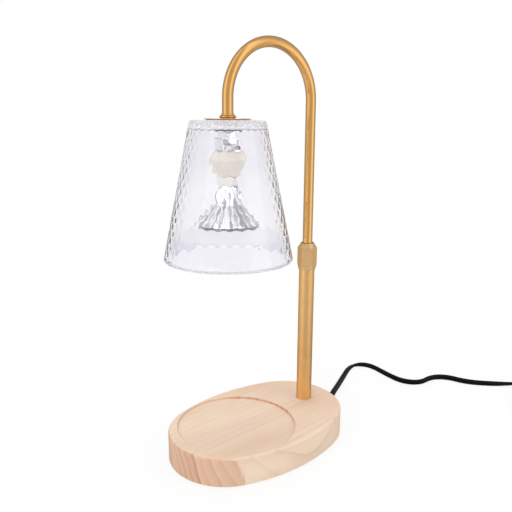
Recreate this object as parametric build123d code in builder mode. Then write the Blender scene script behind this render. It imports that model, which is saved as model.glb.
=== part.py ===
"""Candle warmer lamp: an oval wooden base, a telescoping pole clamped by a hexagonal
collar, a gooseneck, a pressed glass shade and a spotlight bulb that melts a candle from
above, on a two-core lead with a thumbwheel dimmer.

Millimetres, +Z up. The origin is on the floor under the middle of the base, and +X runs
from there towards the pole, so the candle seat and the shade are on the -X side.
"""
from build123d import *
from math import atan2, cos, pi, radians, sin, tan
import os

os.makedirs("parts", exist_ok=True)

# ---------------------------------------------------------------- driving dimensions
# Wooden base
base_length = 194.0
base_width = 128.0
base_end_radius = 57.0
wood_thickness = 28.0
top_edge_radius = 2.2
bottom_edge_radius = 0.8
seat_x = -28.0
seat_radius = 58.5
seat_depth = 2.5
seat_edge_radius = 0.5
pad_thickness = 1.0
pad_inset = 3.0
pocket_depth = 13.0
pocket_width = 38.0
pocket_from_x = 34.0
pocket_to_x = 84.0
pocket_corner = 8.0

# Telescoping pole
pole_x = 64.9
lower_tube_radius = 8.0
lower_tube_wall = 1.2
socket_depth = 10.0
lower_tube_top = 171.4
upper_tube_radius = 5.0
upper_tube_wall = 1.0
upper_tube_foot = 98.0
arch_centre_z = 341.9
arm_reach = 101.4
stop_ring_height = 8.0
down_travel = 60.0
up_travel = 45.0

# Clamp at the top of the lower tube
collar_across_corners = 20.2
collar_turn = 12.0
collar_height = 28.2
collar_top_chamfer = 5.5
collar_bottom_chamfer = 6.0
thread_radius = 7.6
socket_flange_height = 1.2
socket_spigot_length = 19.4
thread_height = 17.4
grip_taper = 6.5
grip_slot = 1.2

# Pole fixing inside the base
stud_radius = 5.0
stud_bore = 3.4
washer_thickness = 1.6
washer_radius = 13.0
nut_across_flats = 14.0
nut_height = 5.0

# Shade and what hangs in it
shade_top = 323.2
shade_height = 124.8
shade_top_radius = 33.9
shade_bottom_radius = 59.5
shade_wall = 4.0
shade_plate = 8.0
shade_shoulder = 4.0
shade_hole_radius = 9.0
gasket_thickness = 0.5
cap_radius = 20.7
cap_thickness = 0.8
ferrule_height = 4.4
ferrule_foot_radius = 7.5
soft_washer_thickness = 1.0
bracket_thickness = 1.0
bracket_width = 12.0
bracket_span = 20.0
lock_nut_height = 3.4
holder_bottom = 274.5
holder_height = 22.1
holder_radius = 16.8
holder_mouth_radius = 10.8
holder_top_radius = 13.2
pin_pitch = 10.0
pin_shaft_radius = 1.2
pin_head_radius = 2.4
bulb_twist = 30.0
lock_angle = 90.0
bulb_length = 45.2
bulb_rim_radius = 29.0
bulb_base_radius = 9.7
bulb_base_height = 8.5

# Lead, dimmer and plug
lead_radius = 0.9
cord_width = 6.4
exit_y = 4.0
exit_z = 8.0
boot_neck_radius = 4.6
boot_flange = 2.5
boot_shoulder_radius = 5.2
boot_mouth_radius = 3.9
boot_turn = 30.0
boot_bend_radius = 37.0
cap_tube_radius = 2.75
cap_tube_length = 14.0
coil_centre = (309.0, -174.0)
coil_mean_radius = 35.0
coil_columns = 3
coil_layers = 2
dimmer_nose = (352.5, -127.4)
dimmer_heading = (0.664, -0.748)
dimmer_length = 58.0
dimmer_width = 27.0
dimmer_height = 16.0
dimmer_wall = 1.8
dimmer_end_radius = 9.0
wheel_radius = 12.5
wheel_thickness = 6.0
wheel_offset = 4.5
wheel_ribs = 24
spindle_radius = 2.0
plug_nose_x = 258.0
plug_axis_y = -217.2
plug_relief_length = 24.0
plug_length = 30.0
plug_width = 25.0
plug_height = 17.0
blade_pitch = 12.7
blade_length = 17.0
blade_width = 6.35
blade_thickness = 1.5

# Clearances: a running fit turns or slides by hand, a free gap never touches
running_fit = 0.05
free_gap = 0.3

# ---------------------------------------------------------------- derived places
base_top = pad_thickness + wood_thickness
pocket_top = pad_thickness + pocket_depth
lower_tube_foot = base_top - socket_depth
lower_tube_bore = lower_tube_radius - lower_tube_wall
upper_tube_bore = upper_tube_radius - upper_tube_wall
arch_radius = arm_reach / 2
arch_x = pole_x - arch_radius
shade_x = pole_x - arm_reach
cap_bottom = shade_top + gasket_thickness
cap_top = cap_bottom + cap_thickness
plate_bottom = shade_top - shade_plate
shade_bottom = shade_top - shade_height
shade_slope = (shade_bottom_radius - shade_top_radius) / shade_height
holder_top = holder_bottom + holder_height
socket_top = lower_tube_top + socket_flange_height + thread_height
collar_bottom = lower_tube_top + socket_flange_height + free_gap
collar_top = collar_bottom + collar_height
wall_x = base_length / 2
cord_radius = cord_width / 2

pole_axis = Axis((pole_x, 0, 0), (0, 0, 1))
shade_axis = Axis((shade_x, 0, 0), (0, 0, 1))
# Half sections: local x is the distance from the axis and local y is the height
pole_section = Plane(origin=(pole_x, 0, 0), x_dir=(1, 0, 0), z_dir=(0, -1, 0))
shade_section = Plane(origin=(shade_x, 0, 0), x_dir=(1, 0, 0), z_dir=(0, -1, 0))


def on_pole(z):
    """The level plane at height z, centred on the pole."""
    return Plane((pole_x, 0, z))


def under_arch(z):
    """The level plane at height z, centred on the shade."""
    return Plane((shade_x, 0, z))


def through_wall(x):
    """The upright plane at x that faces +X, centred on the lead's hole in the base."""
    return Plane((x, exit_y, exit_z), x_dir=(0, 1, 0), z_dir=(1, 0, 0))


def annulus(outer, inner):
    """A ring in the sketch that is open."""
    Circle(outer)
    Circle(inner, mode=Mode.SUBTRACT)


def oval(length, width, end_radius):
    """Four tangent arcs: two ends of end_radius and the two long sides between them."""
    a, b = length / 2, width / 2
    side_radius = ((a - end_radius) ** 2 + b**2 - end_radius**2) / (2 * (b - end_radius))
    join = atan2(side_radius - b, a - end_radius)
    jx = a - end_radius + end_radius * cos(join)
    jy = end_radius * sin(join)
    with BuildLine() as outline:
        ThreePointArc((jx, -jy), (a, 0), (jx, jy))
        ThreePointArc((jx, jy), (0, b), (-jx, jy))
        ThreePointArc((-jx, jy), (-a, 0), (-jx, -jy))
        ThreePointArc((-jx, -jy), (0, -b), (jx, -jy))
    make_face(outline.edges())


# ---------------------------------------------------------------- base
with BuildPart() as wooden_base:
    with BuildSketch(Plane.XY.offset(pad_thickness)):
        oval(base_length, base_width, base_end_radius)
    extrude(amount=wood_thickness)
    fillet(wooden_base.faces().sort_by(Axis.Z)[-1].edges(), top_edge_radius)
    fillet(wooden_base.faces().sort_by(Axis.Z)[0].edges(), bottom_edge_radius)
    with BuildSketch(Plane((seat_x, 0, base_top))):
        Circle(seat_radius)
    extrude(amount=-seat_depth, mode=Mode.SUBTRACT)
    seat_rim = wooden_base.edges().filter_by(GeomType.CIRCLE).filter_by(
        lambda e: abs(e.radius - seat_radius) < 0.01 and abs(e.center().Z - base_top) < 0.01
    )
    fillet(seat_rim, seat_edge_radius)
    with BuildSketch(Plane.XY.offset(pad_thickness)):
        with Locations(((pocket_from_x + pocket_to_x) / 2, 0)):
            RectangleRounded(pocket_to_x - pocket_from_x, pocket_width, pocket_corner)
    extrude(amount=pocket_depth, mode=Mode.SUBTRACT)
    with Locations((pole_x, 0, base_top)):
        CounterBoreHole(stud_radius + free_gap, lower_tube_radius, socket_depth)
    with BuildSketch(through_wall(pocket_to_x)):
        Circle(boot_neck_radius)
    extrude(amount=base_length / 2, mode=Mode.SUBTRACT)
wooden_base.part.label = "wooden_base"
export_step(wooden_base.part, "parts/wooden_base.step")

with BuildPart() as foot_pad:
    with BuildSketch():
        oval(base_length - 2 * pad_inset, base_width - 2 * pad_inset, base_end_radius - pad_inset)
    extrude(amount=pad_thickness)
foot_pad.part.label = "foot_pad"
export_step(foot_pad.part, "parts/foot_pad.step")

# ---------------------------------------------------------------- pole
with BuildPart() as lower_tube:
    with BuildSketch(on_pole(lower_tube_foot)):
        annulus(lower_tube_radius, lower_tube_bore)
    extrude(amount=lower_tube_top - lower_tube_foot)
lower_tube.part.label = "lower_tube"
export_step(lower_tube.part, "parts/lower_tube.step")

plug_height_in_tube = 14.0
with BuildPart() as tube_plug:
    with BuildSketch(on_pole(lower_tube_foot)):
        annulus(lower_tube_bore, stud_radius)
    extrude(amount=plug_height_in_tube)
    chamfer(tube_plug.faces().sort_by(Axis.Z)[-1].edges().sort_by(SortBy.LENGTH)[-1], 0.8)
tube_plug.part.label = "tube_plug"
export_step(tube_plug.part, "parts/tube_plug.step")

stud_bottom = pocket_top - washer_thickness - nut_height - 1.6
with BuildPart() as pole_stud:
    with BuildSketch(on_pole(stud_bottom)):
        annulus(stud_radius, stud_bore)
    extrude(amount=lower_tube_foot + plug_height_in_tube - stud_bottom)
    stud_end = pole_stud.faces().sort_by(Axis.Z)[0]
    chamfer(stud_end.edges().sort_by(SortBy.LENGTH)[-1], 0.6)
pole_stud.part.label = "pole_stud"
export_step(pole_stud.part, "parts/pole_stud.step")

with BuildPart() as pole_washer:
    with BuildSketch(on_pole(pocket_top - washer_thickness)):
        annulus(washer_radius, stud_radius + free_gap)
    extrude(amount=washer_thickness)
pole_washer.part.label = "pole_washer"
export_step(pole_washer.part, "parts/pole_washer.step")


def chamfered_nut(across_flats, height, bore, bottom, section, axis):
    """A hexagon nut in the open part, its corners turned down by a cone at both ends."""
    corner = across_flats / 3**0.5
    with BuildSketch(Plane(section.origin + Vector(0, 0, bottom))) as hexagon:
        RegularPolygon(across_flats / 2, 6, major_radius=False)
        Circle(bore, mode=Mode.SUBTRACT)
    extrude(hexagon.sketch, amount=height)
    with BuildSketch(section) as turned:
        with BuildLine():
            Polyline(
                (0, bottom),
                (across_flats / 2 - 0.1, bottom),
                (corner + 0.05, bottom + (corner + 0.15 - across_flats / 2) * 0.55),
                (corner + 0.05, bottom + height - (corner + 0.15 - across_flats / 2) * 0.55),
                (across_flats / 2 - 0.1, bottom + height),
                (0, bottom + height),
                close=True,
            )
        make_face()
    revolve(turned.sketch, axis=axis, mode=Mode.INTERSECT)


with BuildPart() as pole_nut:
    pole_nut_bottom = pocket_top - washer_thickness - nut_height
    chamfered_nut(nut_across_flats, nut_height, stud_radius, pole_nut_bottom, pole_section, pole_axis)
pole_nut.part.label = "pole_nut"
export_step(pole_nut.part, "parts/pole_nut.step")

# The gooseneck: up the pole, over a half circle, down to the shade
with BuildPart() as upper_tube:
    with BuildLine(Plane.XZ) as gooseneck:
        Line((pole_x, upper_tube_foot), (pole_x, arch_centre_z))
        CenterArc((arch_x, arch_centre_z), arch_radius, 0, 180)
        Line((shade_x, arch_centre_z), (shade_x, cap_top))
    with BuildSketch(on_pole(upper_tube_foot)):
        annulus(upper_tube_radius, upper_tube_bore)
    sweep(path=gooseneck.wires()[0])
upper_tube.part.label = "upper_tube"
export_step(upper_tube.part, "parts/upper_tube.step")

with BuildPart() as stop_ring:
    with BuildSketch(on_pole(upper_tube_foot)):
        annulus(lower_tube_bore - running_fit, upper_tube_radius)
    extrude(amount=stop_ring_height)
    rims = stop_ring.edges().filter_by(GeomType.CIRCLE).sort_by(SortBy.RADIUS)[-2:]
    chamfer(rims, 0.6)
stop_ring.part.label = "stop_ring"
export_step(stop_ring.part, "parts/stop_ring.step")

# ---------------------------------------------------------------- clamp
# The socket plugs the lower tube, carries the collar's thread and opens in a cone
mouth_radius = thread_radius - 1.0
mouth_start = socket_top - grip_taper
socket_bore = upper_tube_radius + free_gap
with BuildPart() as clamp_socket:
    with BuildSketch(pole_section):
        with BuildLine():
            Polyline(
                (socket_bore, lower_tube_top - socket_spigot_length),
                (lower_tube_bore, lower_tube_top - socket_spigot_length),
                (lower_tube_bore, lower_tube_top),
                (lower_tube_radius, lower_tube_top),
                (lower_tube_radius, lower_tube_top + socket_flange_height),
                (thread_radius, lower_tube_top + socket_flange_height),
                (thread_radius, socket_top - 0.4),
                (thread_radius - 0.4, socket_top),
                (mouth_radius, socket_top),
                (socket_bore, mouth_start),
                close=True,
            )
        make_face()
    revolve(axis=pole_axis)
clamp_socket.part.label = "clamp_socket"
export_step(clamp_socket.part, "parts/clamp_socket.step")

# The split ring is squeezed onto the upper tube between the two cones
ring_bore = upper_tube_radius + running_fit
ring_foot = mouth_start + 2.0
mouth_slope = (mouth_radius - socket_bore) / grip_taper
ring_lip = thread_radius - 0.7
ring_shoulder = socket_top + 2.9
ring_top = ring_shoulder + 4.0
with BuildPart() as grip_ring:
    with BuildSketch(pole_section):
        with BuildLine():
            Polyline(
                (ring_bore, ring_foot),
                (socket_bore + 2.0 * mouth_slope - free_gap, ring_foot),
                (mouth_radius - free_gap, socket_top),
                (mouth_radius - free_gap, socket_top + free_gap),
                (ring_lip, socket_top + free_gap),
                (ring_lip, ring_shoulder),
                (ring_bore + 0.7, ring_top),
                (ring_bore, ring_top),
                close=True,
            )
        make_face()
    revolve(axis=pole_axis)
    with BuildSketch(on_pole(ring_foot)):
        with Locations((-ring_lip / 2 - 1, 0)):
            Rectangle(ring_lip + 2, grip_slot)
    extrude(amount=ring_top - ring_foot, mode=Mode.SUBTRACT)
grip_ring.part.label = "grip_ring"
export_step(grip_ring.part, "parts/grip_ring.step")

# The collar: a tall hexagon turned down to a long cone on top and a steep one below,
# so that its six flats end in arcs
collar_flat = collar_across_corners * 3**0.5 / 4
collar_corner = collar_across_corners / 2
nose_radius = upper_tube_radius + 1.0
with BuildPart() as lock_collar:
    with BuildSketch(on_pole(collar_bottom)):
        RegularPolygon(collar_corner, 6, rotation=collar_turn)
    extrude(amount=collar_height)
    with BuildSketch(pole_section):
        with BuildLine():
            Polyline(
                (0, collar_bottom),
                (collar_flat - 0.15, collar_bottom),
                (collar_corner, collar_bottom + collar_bottom_chamfer),
                (collar_corner, collar_top - collar_top_chamfer),
                (nose_radius + 0.5, collar_top),
                (0, collar_top),
                close=True,
            )
        make_face()
    revolve(axis=pole_axis, mode=Mode.INTERSECT)
    with BuildSketch(pole_section):
        with BuildLine():
            Polyline(
                (0, collar_bottom - 1),
                (thread_radius + running_fit, collar_bottom - 1),
                (thread_radius + running_fit, ring_shoulder),
                (nose_radius, ring_top + 1.6),
                (nose_radius, collar_top + 1),
                (0, collar_top + 1),
                close=True,
            )
        make_face()
    revolve(axis=pole_axis, mode=Mode.SUBTRACT)
lock_collar.part.label = "lock_collar"
export_step(lock_collar.part, "parts/lock_collar.step")

# ---------------------------------------------------------------- shade and its fixing
with BuildPart() as glass_shade:
    with BuildSketch(shade_section):
        with BuildLine():
            FilletPolyline(
                (shade_bottom_radius - shade_wall, shade_bottom),
                (shade_bottom_radius, shade_bottom),
                (shade_top_radius, shade_top),
                (shade_hole_radius, shade_top),
                (shade_hole_radius, plate_bottom),
                (shade_top_radius - shade_wall + shade_slope * shade_plate, plate_bottom),
                radius=[shade_wall * 0.45, shade_wall * 0.45, shade_shoulder, 0.6, 0.6, shade_shoulder],
                close=True,
            )
        make_face()
    revolve(axis=shade_axis)
glass_shade.part.label = "glass_shade"
export_step(glass_shade.part, "parts/glass_shade.step")

with BuildPart() as centre_bush:
    with BuildSketch(under_arch(plate_bottom)):
        annulus(shade_hole_radius, stud_radius)
    extrude(amount=shade_plate)
centre_bush.part.label = "centre_bush"
export_step(centre_bush.part, "parts/centre_bush.step")

with BuildPart() as top_gasket:
    with BuildSketch(under_arch(shade_top)):
        annulus(cap_radius - 2.0, stud_radius + free_gap)
    extrude(amount=gasket_thickness)
top_gasket.part.label = "top_gasket"
export_step(top_gasket.part, "parts/top_gasket.step")

with BuildPart() as cap_disc:
    with BuildSketch(under_arch(cap_bottom)):
        annulus(cap_radius, stud_radius)
    extrude(amount=cap_thickness)
    fillet(cap_disc.edges().filter_by(GeomType.CIRCLE).sort_by(SortBy.RADIUS)[-2:], 0.3)
cap_disc.part.label = "cap_disc"
export_step(cap_disc.part, "parts/cap_disc.step")

# The ferrule flares from the tube to the cap
with BuildPart() as tube_ferrule:
    with BuildSketch(shade_section):
        with BuildLine():
            foot = Line((upper_tube_radius, cap_top), (ferrule_foot_radius, cap_top))
            rim = Line(foot @ 1, (ferrule_foot_radius, cap_top + 1.0))
            flare = ThreePointArc(
                rim @ 1,
                (upper_tube_radius + 1.0, cap_top + 0.5 * ferrule_height),
                (upper_tube_radius + 0.5, cap_top + ferrule_height),
            )
            lip = Line(flare @ 1, (upper_tube_radius, cap_top + ferrule_height))
            Line(lip @ 1, foot @ 0)
        make_face()
    revolve(axis=shade_axis)
tube_ferrule.part.label = "tube_ferrule"
export_step(tube_ferrule.part, "parts/tube_ferrule.step")

# Hollow nipple: its spigot is brazed into the tube, its thread passes shade and bracket
soft_washer_bottom = plate_bottom - soft_washer_thickness
steel_washer_bottom = soft_washer_bottom - washer_thickness
clamp_nut_bottom = steel_washer_bottom - nut_height
bracket_top = clamp_nut_bottom
lock_nut_bottom = bracket_top - bracket_thickness - lock_nut_height
nipple_bottom = lock_nut_bottom - 1.0
nipple_bore = 3.2
spigot_length = 13.5
with BuildPart() as threaded_nipple:
    with BuildSketch(shade_section):
        with BuildLine():
            Polyline(
                (nipple_bore, nipple_bottom),
                (stud_radius - 0.6, nipple_bottom),
                (stud_radius, nipple_bottom + 0.6),
                (stud_radius, cap_top),
                (nipple_bore, cap_top),
                close=True,
            )
        make_face()
        with Locations((nipple_bore, cap_top)):
            Rectangle(upper_tube_bore - nipple_bore, spigot_length, align=(Align.MIN, Align.MIN))
    revolve(axis=shade_axis)
threaded_nipple.part.label = "threaded_nipple"
export_step(threaded_nipple.part, "parts/threaded_nipple.step")

with BuildPart() as soft_washer:
    with BuildSketch(under_arch(soft_washer_bottom)):
        annulus(washer_radius, stud_radius + free_gap)
    extrude(amount=soft_washer_thickness)
soft_washer.part.label = "soft_washer"
export_step(soft_washer.part, "parts/soft_washer.step")

with BuildPart() as steel_washer:
    with BuildSketch(under_arch(steel_washer_bottom)):
        annulus(washer_radius - 1.0, stud_radius + free_gap)
    extrude(amount=washer_thickness)
    fillet(steel_washer.edges().filter_by(GeomType.CIRCLE).sort_by(SortBy.RADIUS)[-2:], 0.3)
steel_washer.part.label = "steel_washer"
export_step(steel_washer.part, "parts/steel_washer.step")

with BuildPart() as clamp_nut:
    chamfered_nut(nut_across_flats, nut_height, stud_radius, clamp_nut_bottom, shade_section, shade_axis)
clamp_nut.part.label = "clamp_nut"
export_step(clamp_nut.part, "parts/clamp_nut.step")

with BuildPart() as lock_nut:
    chamfered_nut(nut_across_flats, lock_nut_height, stud_radius, lock_nut_bottom, shade_section, shade_axis)
lock_nut.part.label = "lock_nut"
export_step(lock_nut.part, "parts/lock_nut.step")

# The bracket: a bent strip with a raised bridge and two feet that stand on the holder
foot_reach = 6.6
bracket_path = [
    (-(bracket_span / 2 - foot_reach), holder_top),
    (-bracket_span / 2, holder_top),
    (-bracket_span / 2, bracket_top),
    (bracket_span / 2, bracket_top),
    (bracket_span / 2, holder_top),
    (bracket_span / 2 - foot_reach, holder_top),
    (bracket_span / 2 - foot_reach, holder_top + bracket_thickness),
    (bracket_span / 2 - bracket_thickness, holder_top + bracket_thickness),
    (bracket_span / 2 - bracket_thickness, bracket_top - bracket_thickness),
    (-bracket_span / 2 + bracket_thickness, bracket_top - bracket_thickness),
    (-bracket_span / 2 + bracket_thickness, holder_top + bracket_thickness),
    (-(bracket_span / 2 - foot_reach), holder_top + bracket_thickness),
]
outer_bend = 1.6
inner_bend = outer_bend - bracket_thickness
screw_x = bracket_span / 2 - 3.8
screw_radius = 1.5
with BuildPart() as holder_bracket:
    with BuildSketch(shade_section):
        with BuildLine():
            FilletPolyline(
                bracket_path,
                radius=[0.1] + [outer_bend] * 4 + [0.1] * 2 + [inner_bend] * 4 + [0.1],
                close=True,
            )
        make_face()
    extrude(amount=bracket_width / 2, both=True)
    with BuildSketch(under_arch(bracket_top)):
        Circle(stud_radius + free_gap)
    extrude(amount=-2 * bracket_thickness, mode=Mode.SUBTRACT)
    with BuildSketch(under_arch(holder_top)):
        with Locations((screw_x, 0), (-screw_x, 0)):
            Circle(screw_radius + 0.15)
    extrude(amount=bracket_thickness, mode=Mode.SUBTRACT)
holder_bracket.part.label = "holder_bracket"
export_step(holder_bracket.part, "parts/holder_bracket.step")

screw_depth = 7.0
screw_head_radius = 2.1
screw_head_height = 1.8
with BuildPart() as bracket_screws:
    with BuildSketch(under_arch(holder_top - screw_depth)):
        with Locations((screw_x, 0), (-screw_x, 0)):
            Circle(screw_radius)
    extrude(amount=screw_depth + bracket_thickness)
    with BuildSketch(under_arch(holder_top + bracket_thickness)):
        with Locations((screw_x, 0), (-screw_x, 0)):
            Circle(screw_head_radius)
    extrude(amount=screw_head_height)
    head_rims = bracket_screws.faces().sort_by(Axis.Z)[-2:].edges()
    fillet(head_rims, 0.7)
    with BuildSketch(under_arch(holder_top + bracket_thickness + screw_head_height)):
        with Locations((screw_x, 0), (-screw_x, 0)):
            Rectangle(0.7, 2 * screw_head_radius)
    extrude(amount=-0.8, mode=Mode.SUBTRACT)
bracket_screws.part.label = "bracket_screws"
export_step(bracket_screws.part, "parts/bracket_screws.step")

# ---------------------------------------------------------------- lampholder
# A twist-and-lock holder: each pin goes up through a round hole, then along an arc
# whose lip catches the pin's head
lip_thickness = 2.5
chamber_height = 6.0
lead_hole_y = 5.2
lead_hole_radius = 1.5
slot_arc_radius = pin_pitch / 2
chamber_top = holder_bottom + lip_thickness + chamber_height
with BuildLine() as pin_track:
    pin_arc = CenterArc((0, 0), slot_arc_radius, lock_angle - bulb_twist, bulb_twist)
with BuildPart() as lamp_holder:
    with BuildSketch(shade_section):
        with BuildLine():
            FilletPolyline(
                (0, holder_bottom),
                (holder_mouth_radius, holder_bottom),
                (holder_radius, holder_bottom + 13.5),
                (holder_radius, holder_bottom + 15.5),
                (holder_top_radius, holder_top),
                (0, holder_top),
                radius=[0.1, 0.8, 1.2, 2.0, 1.5, 0.1],
                close=True,
            )
        make_face()
    revolve(axis=shade_axis)
    with BuildSketch(under_arch(holder_bottom)):
        with PolarLocations(0, 2):
            SlotArc(pin_arc, 2 * pin_shaft_radius + 2 * free_gap)
            with PolarLocations(slot_arc_radius, 1, start_angle=lock_angle - bulb_twist):
                Circle(pin_head_radius + 2 * free_gap)
    extrude(amount=lip_thickness, mode=Mode.SUBTRACT)
    with BuildSketch(under_arch(holder_bottom + lip_thickness)):
        with PolarLocations(0, 2):
            SlotArc(pin_arc, 2 * pin_head_radius + 4 * free_gap)
    extrude(amount=chamber_height, mode=Mode.SUBTRACT)
    with BuildSketch(under_arch(holder_top)):
        with Locations((0, lead_hole_y), (0, -lead_hole_y)):
            Circle(lead_hole_radius)
    extrude(amount=chamber_top - holder_top - 1, mode=Mode.SUBTRACT)
    with BuildSketch(under_arch(holder_top)):
        with Locations((screw_x, 0), (-screw_x, 0)):
            Circle(screw_radius)
    extrude(amount=-screw_depth, mode=Mode.SUBTRACT)
lamp_holder.part.label = "lamp_holder"
export_step(lamp_holder.part, "parts/lamp_holder.step")

# ---------------------------------------------------------------- bulb
bulb_top = holder_bottom - free_gap
lens_bottom = bulb_top - bulb_length
base_bottom = bulb_top - bulb_base_height
neck_radius = bulb_base_radius - 1.3
neck_end_radius = neck_radius + 3.9
neck_length = 16.0
with BuildPart() as bulb_base:
    with BuildSketch(shade_section):
        with BuildLine():
            FilletPolyline(
                (0, bulb_top),
                (bulb_base_radius, bulb_top),
                (bulb_base_radius, bulb_top - 3.6),
                (neck_radius + 0.4, base_bottom),
                (0, base_bottom),
                radius=[0.1, 0.8, 0.8, 0.3, 0.1],
                close=True,
            )
        make_face()
    revolve(axis=shade_axis)
bulb_base.part.label = "bulb_base"
export_step(bulb_base.part, "parts/bulb_base.step")

pin_head_height = 2.6
pin_head_bottom = holder_bottom + lip_thickness + free_gap
with BuildPart() as bulb_pins:
    with BuildSketch(under_arch(bulb_top)):
        with PolarLocations(slot_arc_radius, 2, start_angle=lock_angle):
            Circle(pin_shaft_radius)
    extrude(amount=pin_head_bottom - bulb_top)
    with BuildSketch(under_arch(pin_head_bottom)):
        with PolarLocations(slot_arc_radius, 2, start_angle=lock_angle):
            Circle(pin_head_radius)
    extrude(amount=pin_head_height)
    fillet(bulb_pins.faces().sort_by(Axis.Z)[-2:].edges(), 0.6)
bulb_pins.part.label = "bulb_pins"
export_step(bulb_pins.part, "parts/bulb_pins.step")

# The reflector is a bell: a narrow neck that opens into a wide dish with a straight rim
glass_wall = 1.2
rim_height = 2.6
rim_top = lens_bottom + rim_height
lens_radius = bulb_rim_radius - glass_wall
with BuildPart() as reflector:
    with BuildSketch(shade_section):
        with BuildLine():
            top = Line((neck_radius - glass_wall, base_bottom), (neck_radius, base_bottom))
            neck = Spline(
                top @ 1,
                (neck_radius + 2.2, base_bottom - neck_length / 2),
                (neck_end_radius, base_bottom - neck_length),
                tangents=[(0.3, -1), (0.15, -1)],
            )
            dish = Spline(neck @ 1, (bulb_rim_radius, rim_top), tangents=[(0.9, -1), (1.1, -1)])
            rim = Line(dish @ 1, (bulb_rim_radius, lens_bottom))
            lip = Line(rim @ 1, (lens_radius, lens_bottom))
            step = Line(lip @ 1, (lens_radius, rim_top))
            inner_dish = Spline(
                step @ 1,
                (neck_end_radius - glass_wall, base_bottom - neck_length),
                tangents=[(-1.1, 1), (-0.9, 1)],
            )
            Spline(
                inner_dish @ 1,
                (neck_radius + 2.2 - glass_wall, base_bottom - neck_length / 2),
                top @ 0,
                tangents=[(-0.15, 1), (-0.3, 1)],
            )
        make_face()
    revolve(axis=shade_axis)
reflector.part.label = "reflector"
export_step(reflector.part, "parts/reflector.step")

lens_edge = 2.2
with BuildPart() as bulb_lens:
    with BuildSketch(shade_section):
        with BuildLine():
            edge = Line((lens_radius, lens_bottom + 0.5), (lens_radius, lens_bottom + lens_edge))
            Line(edge @ 1, (0, lens_bottom + lens_edge))
            Line((0, lens_bottom + lens_edge), (0, lens_bottom))
            ThreePointArc((0, lens_bottom), (lens_radius / 2, lens_bottom + 0.15), edge @ 0)
        make_face()
    revolve(axis=shade_axis)
bulb_lens.part.label = "bulb_lens"
export_step(bulb_lens.part, "parts/bulb_lens.step")

capsule_radius = 4.6
capsule_bottom = base_bottom - 23.0
with BuildPart() as halogen_capsule:
    with BuildSketch(shade_section):
        with BuildLine():
            body = Line((0, base_bottom), (capsule_radius - 1.0, base_bottom))
            side = Line(body @ 1, (capsule_radius, base_bottom - 8.0))
            flank = Line(side @ 1, (capsule_radius, capsule_bottom + capsule_radius))
            tip = CenterArc((0, capsule_bottom + capsule_radius), capsule_radius, 0, -90)
            Line(tip @ 1, body @ 0)
        make_face()
    revolve(axis=shade_axis)
halogen_capsule.part.label = "halogen_capsule"
export_step(halogen_capsule.part, "parts/halogen_capsule.step")

# ---------------------------------------------------------------- wiring
lead_spread = 1.6
cap_y = 9.0
cap_mouth_x = 52.0
cap_z = pad_thickness + free_gap + cap_tube_radius
cap_step = 1.1
loose_z = pad_thickness + free_gap + 0.2 + lead_radius
pole_lead_x = 1.4
arm_lead_y = 1.1
pole_lead_top = 225.0
arm_lead_foot = 290.0


def wire(points, bend):
    """One round wire core in the open part, along points, with the same bend at each."""
    with BuildLine() as path:
        FilletPolyline(*points, radius=bend)
    route = path.wires()[0]
    with BuildSketch(Plane(origin=route @ 0, z_dir=route % 0)) as core:
        Circle(lead_radius)
    sweep(core.sketch, path=route)


with BuildPart() as supply_leads:
    for side, start_y, under_y in ((1, exit_y + lead_spread, 8.5), (-1, exit_y - lead_spread, -4.5)):
        wire(
            (
                (pocket_to_x - boot_flange, start_y, exit_z),
                (77.5, start_y, exit_z),
                (72.5, under_y, loose_z),
                (65.0, side * (cap_y + 1.4), loose_z),
                (57.0, side * cap_y, cap_z - cap_step),
                (cap_mouth_x, side * cap_y, cap_z - cap_step),
            ),
            1.6,
        )
supply_leads.part.label = "supply_leads"
export_step(supply_leads.part, "parts/supply_leads.step")

with BuildPart() as splice_caps:
    with BuildSketch(Plane((cap_mouth_x, 0, cap_z), x_dir=(0, 1, 0), z_dir=(1, 0, 0))):
        with Locations((cap_y, 0), (-cap_y, 0)):
            Circle(cap_tube_radius)
    extrude(amount=-cap_tube_length)
    fillet(splice_caps.faces().sort_by(Axis.X)[0:2].edges(), 1.4)
splice_caps.part.label = "splice_caps"
export_step(splice_caps.part, "parts/splice_caps.step")

with BuildPart() as stand_leads:
    for side in (1, -1):
        wire(
            (
                (cap_mouth_x, side * cap_y, cap_z + cap_step),
                (56.0, side * cap_y, cap_z + cap_step),
                (60.5, side * 4.0, loose_z),
                (pole_x + side * pole_lead_x, 0, loose_z),
                (pole_x + side * pole_lead_x, 0, pole_lead_top),
            ),
            1.8,
        )
stand_leads.part.label = "stand_leads"
export_step(stand_leads.part, "parts/stand_leads.step")

# In the arm the two cores follow the tube, then part to the holes of the holder
splay_top = nipple_bottom + 0.4
splay_bottom = holder_top + 1.6
with BuildPart() as arm_leads:
    for side in (1, -1):
        with BuildLine(Plane.XZ.offset(-side * arm_lead_y)) as over:
            Line((pole_x, arm_lead_foot), (pole_x, arch_centre_z))
            CenterArc((arch_x, arch_centre_z), arch_radius, 0, 180)
            Line((shade_x, arch_centre_z), (shade_x, splay_top + 2))
        with BuildSketch(on_pole(arm_lead_foot)) as core:
            with Locations((0, side * arm_lead_y)):
                Circle(lead_radius)
        sweep(core.sketch, path=over.wires()[0])
        wire(
            (
                (shade_x, side * arm_lead_y, splay_top + 2),
                (shade_x, side * arm_lead_y, splay_top),
                (shade_x, side * lead_hole_y, splay_bottom),
                (shade_x, side * lead_hole_y, chamber_top),
            ),
            1.2,
        )
arm_leads.part.label = "arm_leads"
export_step(arm_leads.part, "parts/arm_leads.step")

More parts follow.
